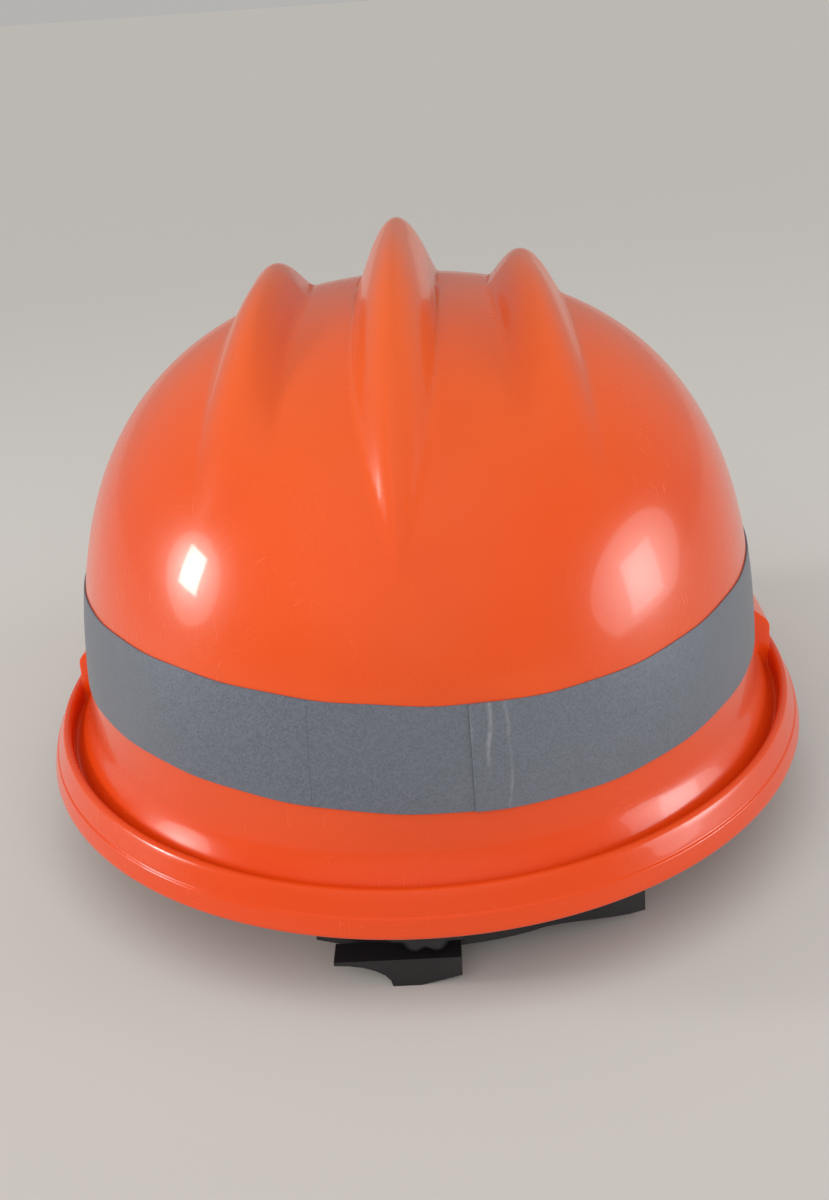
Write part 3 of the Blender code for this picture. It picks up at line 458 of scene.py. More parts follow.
def dome_share(height):
    """Share of the outline that the dome's wall has at a height above the rim."""
    return (1 - (np.maximum(height, 0) / DOME_HEIGHT) ** DOME_POWER_Z) ** (1 / DOME_POWER_R)


def ridge_height(x, y):
    """How far the three crown ridges stand off the dome at plan positions."""
    length = np.where(y > 0, FRONT_LENGTH, REAR_LENGTH)
    along = np.minimum(np.abs(y) / (length * RIDGE_REACH), 1.0)
    width = np.maximum(RIDGE_HALF_WIDTH * (1 - along ** RIDGE_TAPER), RIDGE_THINNEST)
    across = np.minimum(np.abs(x) / width, 1.0)
    middle = (RIDGE_HEIGHT * (1 - along ** RIDGE_ARCH) ** RIDGE_END_SOFTNESS
              * (1 - across ** 2) ** RIDGE_SOFTNESS)
    along = np.minimum(np.abs(y) / (length * SIDE_RIDGE_REACH), 1.0)
    centre = SIDE_RIDGE_X + SIDE_RIDGE_SPREAD * np.abs(y)
    across = np.minimum(np.abs(np.abs(x) - centre) / SIDE_RIDGE_HALF_WIDTH, 1.0)
    side = SIDE_RIDGE_HEIGHT * ((1 - along ** RIDGE_ARCH) * (1 - across ** 2)) ** SIDE_RIDGE_SOFTNESS
    return middle + side


def dome_rings(angles, count, inset=0.0):
    """Rings from near the crown down to where the rim sections start, with the ridges raised.

    The ridges rise straight up at the crown and lean outward further down."""
    lowest = math.asin(float(dome_share(INNER_EDGE_Z if inset else SECTION_TOP)))
    polar = lowest * (np.arange(1, count + 1) / count)[:, None]
    share = np.sin(polar)
    height = (DOME_HEIGHT - inset) * (1 - share ** DOME_POWER_R) ** (1 / DOME_POWER_Z)
    x, y = plan_point(angles[None, :], share, -inset * share)
    height = np.broadcast_to(height, x.shape)
    lean = smooth_step(*RIDGE_LEAN, polar)
    away = np.stack(np.broadcast_arrays(np.cos(angles) * lean, np.sin(angles) * lean, RIDGE_LIFT - lean), -1)
    away = away / np.linalg.norm(away, axis=-1, keepdims=True) * ridge_height(x, y)[..., None]
    return row(x, y, height) + away


def shell_angles():
    """Plan angles, one a degree, with extra ones where the slot lugs begin and end."""
    angles = np.radians(np.arange(0, 360, 1.0))
    steps = np.linspace(-LUG_FILLET, LUG_FILLET, LUG_FILLET_STEPS)
    extra = []
    for y in LUG_Y:
        length = FRONT_LENGTH if y > 0 else REAR_LENGTH
        turn = np.arcsin((y + steps) / length)
        extra += [turn, math.pi - turn]
    extra = np.concatenate(extra) % math.tau
    clear = [abs((a - extra + math.pi) % math.tau - math.pi).min() > LUG_CLEARING for a in angles]
    return np.sort(np.concatenate([angles[np.array(clear)], extra]))


def rim_rings(angles):
    """Rings of the rim: the gutter's section blends into the peak's, and lugs stand on it at the sides."""
    sections = {name: round_corners(np.array(points, float)) * MM for name, points in RIM_SECTIONS.items()}
    front = smooth_step(PEAK_START, PEAK_FULL, np.sin(angles))[None, :, None]
    section = mix(sections["gutter"][:, None, :], sections["peak"][:, None, :], front)
    offset, height = section[..., 0], section[..., 1]
    x, y = plan_point(angles[None, :], dome_share(np.maximum(height, 0)), offset)
    plain = row(x, y, height)
    lug = sections["lug"]
    wall_x, wall_y = plan_point(angles[None, :], dome_share(np.maximum(lug[:, 1:2], 0)))
    out = np.clip(lug[:, 0:1] / LUG_DEPTH, 0.0, 1.0)
    lug_x = mix(wall_x, np.sign(np.cos(angles))[None, :] * LUG_FACE_X, out)
    raised = row(lug_x, wall_y, lug[:, 1:2])
    lug_points = np.where((lug[:, 1:2] > LUG_FOOT)[..., None], raised, plain)
    place = plan_point(angles, 1.0)[1]
    begun = smooth_step(LUG_Y[0] - LUG_FILLET, LUG_Y[0] + LUG_FILLET, place)
    ended = smooth_step(LUG_Y[1] - LUG_FILLET, LUG_Y[1] + LUG_FILLET, place)
    return mix(plain, lug_points, (begun * (1 - ended))[None, :, None])


def build_shell(paint):
    angles = shell_angles()
    apex = DOME_HEIGHT + RIDGE_HEIGHT
    outside = dome_rings(angles, OUTSIDE_RINGS)
    rim = rim_rings(angles)[1:]
    inside = dome_rings(angles, INSIDE_RINGS, WALL)[::-1]
    rings = np.concatenate([outside, rim, inside])
    poles = (row(0, 0, apex).tolist(), row(0, 0, apex - WALL).tolist())
    shell = loft("shell_moulding", rings, paint, 45, poles)
    cut(shell, [lug_pocket(side, paint) for side in (-1, 1)], sharp=45)
    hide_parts("shell")
    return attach(shell, "helmet")


def lug_pocket(side, paint):
    """Tool body of the slot that an ear muff's blade is pushed into from below."""
    near, far = (side * x for x in LUG_POCKET_X)
    corners = [(near, LUG_POCKET_MOUTH), (far, LUG_POCKET_MOUTH), (far, LUG_POCKET_TOP[1]),
               (near, LUG_POCKET_TOP[0])]
    return loft("pocket", [[row(x, y, z) for x, z in corners] for y in LUG_POCKET_Y], paint)


# ---------------------------------------------------------------- strap keys' places
KEY_ANGLES = {"front_right": 60, "front_left": 120, "side_left": 180,
              "rear_left": 240, "rear_right": 300, "side_right": 0}
BOSS_HALF_WIDTH = 13 * MM
BOSS_DEPTH = (-1.2 * MM, 6.4 * MM)
BOSS_Z = (4 * MM, 18 * MM)
BOSS_EDGE = 0.4 * MM
BOSS_CORNERS = (0.8 * MM, 1.0 * MM)   # corner radii of its ends and its middle
MOUTH_CORNER = 0.5 * MM
POCKET_CORNER = 0.3 * MM
POCKET_HALF_WIDTH = 10.4 * MM
POCKET_DEPTH = (2.0 * MM, 4.9 * MM)
POCKET_FLOOR = 7 * MM
POST_Z = 23.5 * MM
POST_RADIUS = 2 * MM


def key_frame(degrees):
    """Point on the inner wall at a key, with the directions along the wall and inward."""
    angle = math.radians(degrees)
    x, y = (float(value) for value in plan_point(angle, 1.0, -WALL))
    length = (FRONT_LENGTH if math.sin(angle) > 0 else REAR_LENGTH) - WALL
    inward = -Vector((math.cos(angle) / (HALF_WIDTH - WALL), math.sin(angle) / length, 0)).normalized()
    return Vector(row(x, y, 0).tolist()), Vector((-inward.y, inward.x, 0)), inward


def key_point(degrees, u, v, height):
    """Point at a key: u along the wall, v inward from it, at a height above the rim."""
    foot, along, inward = key_frame(degrees)
    return foot + along * u + inward * v + Vector((0, 0, height))


def build_boss(name, degrees, paint):
    """Pocket block on the inner wall that a strap key drops into from above."""
    edge = BOSS_EDGE
    half, (near, far) = BOSS_HALF_WIDTH, BOSS_DEPTH
    eased = rounded_box((-half + edge, half - edge), (near, far - edge), BOSS_CORNERS[0])
    full = rounded_box((-half, half), BOSS_DEPTH, BOSS_CORNERS[1])
    half, (near, far) = POCKET_HALF_WIDTH, POCKET_DEPTH
    mouth = rounded_box((-half - edge, half + edge), (near - edge, far + edge), MOUTH_CORNER)
    pocket = rounded_box((-half, half), POCKET_DEPTH, POCKET_CORNER)
    low, high = BOSS_Z
    levels = [(eased, low), (full, low + edge), (full, high - edge), (eased, high), (mouth, high),
              (pocket, high - edge), (pocket, POCKET_FLOOR)]
    rings = [[key_point(degrees, u, v, z) for u, v in outline] for outline, z in levels]
    boss = loft("shell_key_pocket_" + name, rings, paint, 50)
    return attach(boss, "helmet")


# ---------------------------------------------------------------- reflective tape
TAPE_Z = (25.6 * MM, 51.6 * MM)
TAPE_BACK = 0.1 * MM           # the film's two faces, from the shell's wall
TAPE_FACE = 0.45 * MM
TAPE_LAP = 0.36 * MM           # how far the lapping end is lifted, and over how many degrees it comes down
TAPE_SETTLE = 9
TAPE_PIECES = {                # plan angles in degrees, whether it laps over the piece before, and its node
    "tape_film_left": ((90.6, 255.78), False, "reflective_tape_left"),
    "tape_film_rear": ((255.81, 281.5), False, "reflective_tape_rear"),
    "tape_film_right": ((278.2, 449.4), True, "reflective_tape_right"),
}
TAPE_RISES = ((226, 50, 2.8 * MM), (296, 34, -1.7 * MM))     # plan angle, half width and rise
# plan angle, width in degrees, height in millimetres and reach down from the upper edge as a share
TAPE_CREASES = ((278.5, 0.22, 0.20, 0.4), (280.7, 0.27, 0.34, 0.65), (283.3, 0.22, 0.22, 1.0))
CREASE_FULL_HIGHLIGHT = 0.30            # a crease this high in millimetres gets the full painted highlight
CREASE_STATIONS = 56
TAPE_RINGS = 27
TAPE_WAVE = 0.12 * MM


def tape_rise(angle):
    """The tape was laid by hand, so its height is a little uneven."""
    rise = 0.0 * angle
    for middle, half_width, height in TAPE_RISES:
        away = np.minimum(np.abs(np.degrees(angle) - middle) / half_width, 1.0)
        rise = rise + height * (1 - away ** 2) ** 2
    return rise


def tape_crease(angle, height):
    """Small creases that stand up where the right piece laps over the rear one, in millimetres."""
    place = np.degrees(angle)
    share = (height - TAPE_Z[0]) / (TAPE_Z[1] - TAPE_Z[0])
    rise = 0.0 * angle
    for middle, width, crease, reach in TAPE_CREASES:
        wander = 0.28 * math.sin(height * 190 + middle) + 0.12 * math.sin(height * 430)
        strength = 0.7 + 0.3 * math.sin(height * 260 + 2 * middle)
        fade = smooth_step(0.9 - reach, 1.2 - reach, share)
        rise = rise + crease * (strength * fade) * np.exp(-((place - middle - wander) / width) ** 2)
    return rise


def build_tape(name, span, laps, node, paint):
    """One piece of film on the shell's wall; the one that laps is lifted and creased at its start."""
    degrees = np.linspace(span[0], span[1], int((span[1] - span[0]) * 2))
    if laps:
        creased = np.linspace(span[0], TAPE_CREASES[-1][0] + 2, CREASE_STATIONS)
        degrees = np.concatenate([creased, degrees[degrees > creased[-1] + 0.2]])
    angles = np.radians(degrees)
    lifted = TAPE_LAP * laps * (1 - smooth_step(0, TAPE_SETTLE, np.degrees(angles) - span[0]))
    inner, outer, creases = [], [], []
    for height in np.linspace(*TAPE_Z, TAPE_RINGS):
        wavy = tape_rise(angles) + TAPE_WAVE * np.sin(angles * 23 + height * 400)
        share = dome_share(height + wavy)
        creases.append(tape_crease(angles, height) * laps)
        for face, rings in ((TAPE_BACK, inner), (TAPE_FACE, outer)):
            x, y = plan_point(angles, share, face + lifted + creases[-1] * MM)
            rings.append(row(x, y, height + wavy))
    rings = np.concatenate([np.stack(outer, 1), np.stack(inner, 1)[:, ::-1]], axis=1)
    tape = loft(name, rings, paint, 50)
    # the creases' heights set how strongly their painted highlight shows
    crease_highlight_share = np.minimum(np.stack(creases, 1) / CREASE_FULL_HIGHLIGHT, 1.0)
    layer = tape.data.attributes.new("crease", "FLOAT", "POINT")
    layer.data.foreach_set("value", np.concatenate([crease_highlight_share, crease_highlight_share[:, ::-1]], axis=1).ravel())
    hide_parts(node)
    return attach(tape, "helmet")


# ---------------------------------------------------------------- webbing cradle
STRAP_WIDTH = 19 * MM
STRAP_THICKNESS = 1.1 * MM
STRAP_DEPTH = 5.7 * MM
STRAP_FOOT_Z = 29 * MM
STRAP_APEX_Z = 88 * MM
STRAP_STEP = 2.1 * MM          # height between crossing straps
STRAP_LAP = 1.25 * MM          # sewn-back end's middle outward of the strap's middle
STRAP_LAP_Z = (41.5 * MM, 53 * MM)
STRAP_PITCH = 0.9 * MM         # between the webbing's rings
SEWN_Z = (43.5 * MM, 51.5 * MM)
SEWN_HALF_WIDTH = 7 * MM
PATCH_SEAM_RADIUS = 7.2 * MM
PATCH_GAP = 1.0 * MM           # from the upper strap's middle to the patch's underside
# (radius, height) in millimetres of the round patch, from its top to its underside
PATCH_PROFILE = [(3, 1.3), (6, 1.28), (7.5, 1.22), (8.6, 1.1), (9.2, 0.85), (9.5, 0.5), (9.2, 0.15), (8.6, 0),
                 (4, 0)]
PATCH_TOP = 1.3 * MM
PATCH_SEAM_SINK = 0.05 * MM
PATCH_STEPS = 72
STRAPS = {
    "crown_strap_lower": ("side_left", "side_right"),
    "crown_strap_middle": ("front_left", "rear_right"),
    "crown_strap_upper": ("front_right", "rear_left"),
}
# (depth inward, height) in millimetres of the webbing's middle as it turns round a key's bar
KEY_TURN = [(5.2, 38.8), (4.2, 37.9), (3.3, 37.3), (2.6, 36.9), (2.05, 36.45), (1.85, 35.8), (1.8, 34.5),
            (1.8, 33.2), (1.8, 32.0), (1.87, 31.4), (2.1, 30.95), (2.6, 30.72), (3.4, 30.65), (4.3, 30.72),
            (4.9, 31.0), (5.3, 31.5), (5.6, 32.4), (5.75, 33.4)]
# half of the webbing's section: (share of the half width, share of the half thickness)
STRAP_EDGE = [(0, 1.0), (0.2, 1.0), (0.4, 1.0), (0.6, 1.0), (0.78, 1.0), (0.86, 1.15), (0.93, 1.25),
              (0.98, 0.9), (1.0, 0.35)]


def smooth_path(points, step, *others):
    """Even points on a smooth curve through rough ones, with other values carried along."""
    points = np.array(points, float)
    travel = np.concatenate([[0], np.cumsum(np.linalg.norm(np.diff(points, axis=0), axis=1))])
    slope = np.gradient(points, travel, axis=0)
    even = np.linspace(0, travel[-1], round(travel[-1] / step) + 1)
    index = np.clip(np.searchsorted(travel, even, side="right") - 1, 0, len(points) - 2)
    span = (travel[index + 1] - travel[index])[:, None]
    t = (even - travel[index])[:, None] / span
    line = ((2 * t ** 3 - 3 * t ** 2 + 1) * points[index] + (t ** 3 - 2 * t ** 2 + t) * span * slope[index]
            + (3 * t ** 2 - 2 * t ** 3) * points[index + 1] + (t ** 3 - t ** 2) * span * slope[index + 1])
    carried = [np.stack([np.interp(even, travel, column) for column in np.array(other, float).T], -1)
               for other in others]
    return even, line, carried


def unit(vectors):
    return vectors / np.linalg.norm(vectors, axis=-1, keepdims=True)


def strap_leg(end, layer, height, out=0.0):
    """Middle of a strap at a height on one side, moved out by a distance, and its width direction."""
    apex = STRAP_APEX_Z + layer * STRAP_STEP
    foot = key_point(KEY_ANGLES[end], 0, STRAP_DEPTH, 0)
    reach = Vector((foot.x, foot.y - DOME_Y, 0))
    away = reach.normalized()
    square = Vector((-away.y, away.x, 0))
    along = key_frame(KEY_ANGLES[end])[1]
    if along.dot(square) < 0:
        along = -along
    rise = min((height - STRAP_FOOT_Z) / (apex - STRAP_FOOT_Z), 1.0)
    turn = math.asin(rise)
    flat = away * (reach.length * math.cos(turn))
    middle = Vector(row(flat.x, flat.y, height).tolist())
    outward = away * ((apex - STRAP_FOOT_Z) * math.cos(turn)) + Vector((0, 0, reach.length * math.sin(turn)))
    across = along.lerp(square, float(smooth_step(0, 0.6, turn))).normalized()
    return middle + outward.normalized() * out, across


def strap_half(end, layer):
    """Middles and width directions from the sewn-back end, round the key and up to the crown."""
    spots = [strap_leg(end, layer, z, STRAP_LAP) for z in np.linspace(STRAP_LAP_Z[1], STRAP_LAP_Z[0], 9)]
    along = strap_leg(end, layer, STRAP_FOOT_Z)[1]
    spots += [(key_point(KEY_ANGLES[end], 0, depth * MM, z * MM), along) for depth, z in KEY_TURN]
    apex = STRAP_APEX_Z + layer * STRAP_STEP
    for turn in np.radians(np.linspace(6, 90, 43)):
        spots.append(strap_leg(end, layer, mix(STRAP_FOOT_Z, apex, math.sin(turn))))
    return spots


def build_strap(name, ends, layer, paint):
    """Webbing from one key to the other over the crown; a higher layer crosses over a lower one."""
    first, second = (strap_half(end, layer) for end in ends)
    spots = first + [(middle, -across) for middle, across in second[-2::-1]]
    along, middles, (across,) = smooth_path([s[0] for s in spots], STRAP_PITCH, [s[1] for s in spots])
    across = unit(across)
    normal = unit(np.cross(across, np.gradient(middles, axis=0)))
    half = STRAP_EDGE + [(u, -n) for u, n in STRAP_EDGE[::-1]]
    outline = np.array(half + [(-u, -n) for u, n in STRAP_EDGE[1:]] + [(-u, n) for u, n in STRAP_EDGE[:0:-1]])
    outline *= (STRAP_WIDTH / 2, STRAP_THICKNESS / 2)
    rings = middles[:, None] + across[:, None] * outline[None, :, :1] + normal[:, None] * outline[None, :, 1:]
    strap = loft(name + "_webbing", rings, paint, 60, weave=(along, outline[:, 0]))
    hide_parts(name)
    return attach(strap, "helmet")


STITCH_PITCH = 2.3 * MM
STITCH_RADIUS = 0.26 * MM
# (rise, width) along one stitch, as shares of the thread's radius
STITCH_PROFILE = ((-1.3, 0.5), (0.0, 1.0), (0.5, 1.0), (0.0, 1.0), (-1.3, 0.5))
STITCH_SIDES = 6
STITCH_SPAN = (0.12, 0.88)     # where the thread comes up and goes down, as shares of the pitch


def sew(name, lines, paint, pitch=STITCH_PITCH):
    """Stitches along lines of (points, normals), each one a short thread that dips in at both ends."""
    points, faces = [], []
    around, profile = STITCH_SIDES, STITCH_PROFILE
    dip_in, dip_out = STITCH_SPAN
    for spots, normals in lines:
        spots, normals = np.array(spots, float), unit(np.array(normals, float))
        travel = np.concatenate([[0], np.cumsum(np.linalg.norm(np.diff(spots, axis=0), axis=1))])
        count = max(1, round(travel[-1] / pitch))
        for k in range(count):
            places = np.linspace(k + dip_in, k + dip_out, len(profile)) / count * travel[-1]
            centres = np.stack([np.interp(places, travel, spots[:, i]) for i in range(3)], -1)
            up = np.array([np.interp(places[2], travel, normals[:, i]) for i in range(3)])
            side = unit(np.cross(centres[-1] - centres[0], up))
            base = len(points)
            for centre, (rise, width) in zip(centres, profile):
                for turn in np.arange(around) * math.tau / around:
                    turned = up * (rise + width * math.sin(turn)) + side * width * math.cos(turn)
                    points.append(centre + STITCH_RADIUS * turned)
            for ring in range(len(profile) - 1):
                start = base + ring * around
                faces += [[start + i, start + (i + 1) % around, start + around + (i + 1) % around,
                           start + around + i] for i in range(around)]
            faces.append([base + i for i in range(around)][::-1])
            faces.append([base + (len(profile) - 1) * around + i for i in range(around)])
    made = add_mesh(name, points, faces, paint, 80)
    face_outward(made.data)
    return made


def strap_stitches(name, ends, layer, paint):
    """A sewn box with a cross in it where each end of the webbing is turned back on itself."""
    lines = []
    low, high = SEWN_Z
    corners = [(-1, low), (1, low), (1, high), (-1, high), (-1, low), (1, high)]
    for end in ends:
        for (u0, z0), (u1, z1) in list(zip(corners, corners[1:])) + [((-1, high), (1, low))]:
            spots, normals = [], []
            for t in np.linspace(0, 1, 9):
                inner, across = strap_leg(end, layer, mix(z0, z1, t), -STRAP_THICKNESS / 2)
                outer = strap_leg(end, layer, mix(z0, z1, t), STRAP_THICKNESS / 2)[0]
                spots.append(inner + across * (mix(u0, u1, t) * SEWN_HALF_WIDTH))
                normals.append(inner - outer)
            lines.append((spots, normals))
    stitches = sew(name + "_stitches", lines, paint)
    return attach(stitches, "helmet")


def build_crown_joint(paint, thread):
    """Round patch over the crossing of the straps, and the seam that shows under them."""
    base = STRAP_APEX_Z + 2 * STRAP_STEP + PATCH_GAP
    turns = np.arange(PATCH_STEPS) * math.tau / PATCH_STEPS
    rings = [row(r * MM * np.cos(turns), r * MM * np.sin(turns), base + z * MM) for r, z in PATCH_PROFILE]
    poles = (row(0, 0, base + PATCH_TOP).tolist(), row(0, 0, base).tolist())
    patch = loft("crown_patch", rings, paint, 60, poles)
    layer = patch.data.attributes.new("weave", "FLOAT_VECTOR", "POINT")
    flat = [value / MM for vertex in patch.data.vertices for value in vertex.co]
    layer.data.foreach_set("vector", flat)
    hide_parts("crown_joint_patch")
    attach(patch, "helmet")
    lines = []
    turns = np.linspace(0, math.tau, 49)
    for height, up in ((base + PATCH_TOP - PATCH_SEAM_SINK, 1), (STRAP_APEX_Z - STRAP_THICKNESS / 2, -1)):
        spots = row(PATCH_SEAM_RADIUS * np.cos(turns), PATCH_SEAM_RADIUS * np.sin(turns), height)
        lines.append((spots, np.tile((0, 0, up), (len(turns), 1))))
    seam = sew("crown_patch_stitches", lines, thread)
    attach(seam, "helmet")


# ---------------------------------------------------------------- headband
NAPE_Y = -35 * MM             # nape centre, from the dome's centre
NAPE_RADIUS = 68.6 * MM
BROW_REACH = 134 * MM
BAND_SHAPE = 1.8
BAND_THICKNESS = 2.0 * MM
BAND_END = 72
BAND_REAR_Z = (-12 * MM, 9 * MM)
BAND_FRONT_Z = (3 * MM, 33 * MM)
BAND_CLIMB = (80, 130)        # degrees from the rear between which it rises to its front heights
BAND_STATIONS = 217
# half of the headband's section: (share of the height from its middle, outward offset in millimetres)
BAND_EDGE = [(0.0, 0.8), (0.5, 0.8), (0.78, 0.8), (0.86, 1.05), (0.92, 1.2), (0.97, 1.15), (0.995, 0.7),
             (1.0, 0.2), (0.998, -0.5), (0.98, -0.9), (0.94, -1.0), (0.5, -1.0)]
BAND_ROUNDED = 5              # the band's ends are rounded off over this many degrees, by this share
BAND_ROUNDING = 0.35
VENT_ANGLES = (84, 97, 112, 128, 144, 159, 173)
VENT_HALF_WIDTH = 4.6 * MM
VENT_HALF_HEIGHT = 1.9 * MM
VENT_ROWS = (-0.42, 0.42)     # shares of the half height
VENT_TOOL = 4 * MM            # the vents' tool bodies reach this far to either side of the band
TABS = {"front_right": 157, "front_left": 203, "side_right": 117, "side_left": 243}
TAB_HALF_WIDTH = 5 * MM
TAB_THICKNESS = 1.6 * MM
TAB_DEPTH = 6.2 * MM
TAB_EDGE = 0.35 * MM
TAB_OVERLAP = 8 * MM          # the tab starts this far below the headband's upper edge
TAB_WAY = (0.3, 0.62, 0.86)   # points between its root and its turn, as shares of the way
TAB_REACH = 5 * MM            # its end reaches this far below and above the post's middle
TAB_ROOT_LENGTH = 7 * MM      # its root is wider over this length, by this share
TAB_ROOT_WIDER = 0.35
TAB_HOLE_PLAY = 0.3 * MM


def nape_row(radius, degrees, height):
    """Point about the nape centre; 0 degrees is straight to the rear, positive towards +X."""
    turn = np.radians(degrees)
    return row(radius * np.sin(turn), NAPE_Y - radius * np.cos(turn), height)


def from_rear(degrees):
    """Angle from the rear, the same to either side."""
    return np.abs((degrees + 180.0) % 360 - 180)


def band_radius(degrees):
    """The headband follows the nape's circle at the rear and widens to the brow."""
    opened = np.sin(np.radians(np.maximum(from_rear(degrees) - 90, 0)))
    return NAPE_RADIUS + (BROW_REACH - NAPE_RADIUS) * opened ** BAND_SHAPE


def band_edges(degrees):
    """Heights of the headband's lower and upper edge."""
    front = smooth_step(*BAND_CLIMB, from_rear(degrees))
    return mix(BAND_REAR_Z[0], BAND_FRONT_Z[0], front), mix(BAND_REAR_Z[1], BAND_FRONT_Z[1], front)


def vent(degrees, share, paint):
    """Tool body of a slot with round ends through the headband."""
    low, high = (float(edge) for edge in band_edges(degrees))
    middle = mix(low, high, 0.5 + share / 2)
    radius = float(band_radius(degrees))
    outline = rounded_box((-VENT_HALF_WIDTH, VENT_HALF_WIDTH), (-VENT_HALF_HEIGHT, VENT_HALF_HEIGHT),
                          VENT_HALF_HEIGHT * 0.98, 6)
    rings = []
    for reach in (radius - VENT_TOOL, radius + VENT_TOOL):
        rings.append([nape_row(reach, degrees + math.degrees(u / radius), middle + z) for u, z in outline])
    return loft("vent", rings, paint)


def band_trim(degrees):
    """The band's loose rear ends are rounded off."""
    near_end = smooth_step(BAND_END + BAND_ROUNDED, BAND_END, from_rear(degrees))
    return 1 - BAND_ROUNDING * near_end ** 2


def build_headband(paint):
    """Open ribbed band with rows of vents, and the tabs that hang it on the strap keys."""
    outline = BAND_EDGE + [(-share, out) for share, out in BAND_EDGE[:0:-1]]
    rings = []
    for degrees in np.linspace(BAND_END, 360 - BAND_END, BAND_STATIONS):
        low, high = band_edges(degrees)
        middle, half = (low + high) / 2, (high - low) / 2 * band_trim(degrees)
        rings.append([nape_row(band_radius(degrees) + out * MM, degrees, middle + half * share)
                      for share, out in outline])
    band = loft("headband_strip", rings, paint, 50)
    places = [angle for forward in VENT_ANGLES for angle in (forward, 360 - forward)]
    cut(band, [vent(degrees, share, paint) for degrees in places for share in VENT_ROWS], sharp=50)
    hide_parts("headband")
    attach(band, "helmet")
    for name, degrees in TABS.items():
        build_tab(name, degrees, paint)


def post_tool(degrees, radius, depth, paint):
    """Tool body of the hole that a strap key's post goes through."""
    turns = np.arange(24) * math.tau / 24
    outline = [(radius * math.cos(turn), POST_Z + radius * math.sin(turn)) for turn in turns]
    return loft("post", [[key_point(degrees, u, v, z) for u, z in outline] for v in depth], paint)


def build_tab(name, band_degrees, paint):
    """Moulded tab from the headband's upper edge out to the post of a strap key."""
    key = KEY_ANGLES[name]
    along, inward = key_frame(key)[1:]
    foot = band_edges(band_degrees)[1] - TAB_OVERLAP
    root = Vector(nape_row(band_radius(band_degrees), band_degrees, foot).tolist())
    low = key_point(key, 0, TAB_DEPTH, POST_Z - TAB_REACH)
    top = key_point(key, 0, TAB_DEPTH, POST_Z + TAB_REACH)
    up = Vector((0, 0, 1))
    way = [root.lerp(low, share) for share in TAB_WAY]
    centres = [root] + way + [low + up * 1.2 * MM, mix(low, top, 0.5), top]
    steps = [up, up, up, (up + inward * 0.6).normalized(), (inward + up * 0.3).normalized(), inward, inward]
    travel, line, (thick,) = smooth_path(centres, 0.6 * MM, steps)
    thick = unit(thick)
    left = travel[-1] - travel
    taper = np.sqrt(np.clip(1 - np.maximum(1 - left / TAB_HALF_WIDTH, 0) ** 2, 0.03, 1))
    wide = 1 + TAB_ROOT_WIDER * smooth_step(TAB_ROOT_LENGTH, 0, travel)
    section = rounded_box((-TAB_HALF_WIDTH, TAB_HALF_WIDTH), (0, TAB_THICKNESS), TAB_EDGE)
    rings = [[spot + np.array(along) * u * narrow * wider + direction * n for u, n in section]
             for spot, direction, narrow, wider in zip(line, thick, taper, wide)]
    tab = loft("headband_tab_" + name, rings, paint, 50)
    through = (TAB_DEPTH - 2 * MM, TAB_DEPTH + 5 * MM)
    cut(tab, [post_tool(key, POST_RADIUS + TAB_HOLE_PLAY, through, paint)], sharp=50)
    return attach(tab, "helmet")


# ---------------------------------------------------------------- pads
PAD_RISE = 3.3 * MM           # height of the puffed cloth over its sewn edge
PAD_EDGE = 0.8 * MM
CLOTH_STEP = 1.7 * MM
CLOTH_SCALE = 100             # cloth is simulated at this scale, where Blender's forces work well
CLOTH_FRAMES = 36
CLOTH_SETTINGS = {"vertex_group_mass": "sewn", "quality": 6, "mass": 0.2, "bending_stiffness": 2.0,
                  "shrink_min": -0.09, "use_pressure": True, "uniform_pressure_force": 9}
CLOTH_FLATNESS = 1.6          # how much the top of the puffed cloth is levelled
PAD_CORNER = 9 * MM           # the pad's height narrows over this length at its ends, by this share
PAD_NARROWING = 0.4
PAD_STITCH_PITCH = 2.6 * MM
SEAM_AIM = 9 * MM             # height over the pad that its stitches face
BROW_HALF_ANGLE = 52
BROW_TRIM = (1.5 * MM, 0.5 * MM)
BROW_SEAMS = 6
NAPE_PAD_RADIUS = 60.1 * MM
NAPE_PAD_HALF_ANGLE = 38
NAPE_PAD_Z = (-14 * MM, 7 * MM)
NAPE_SEAMS = 3
GAP = 0.3 * MM


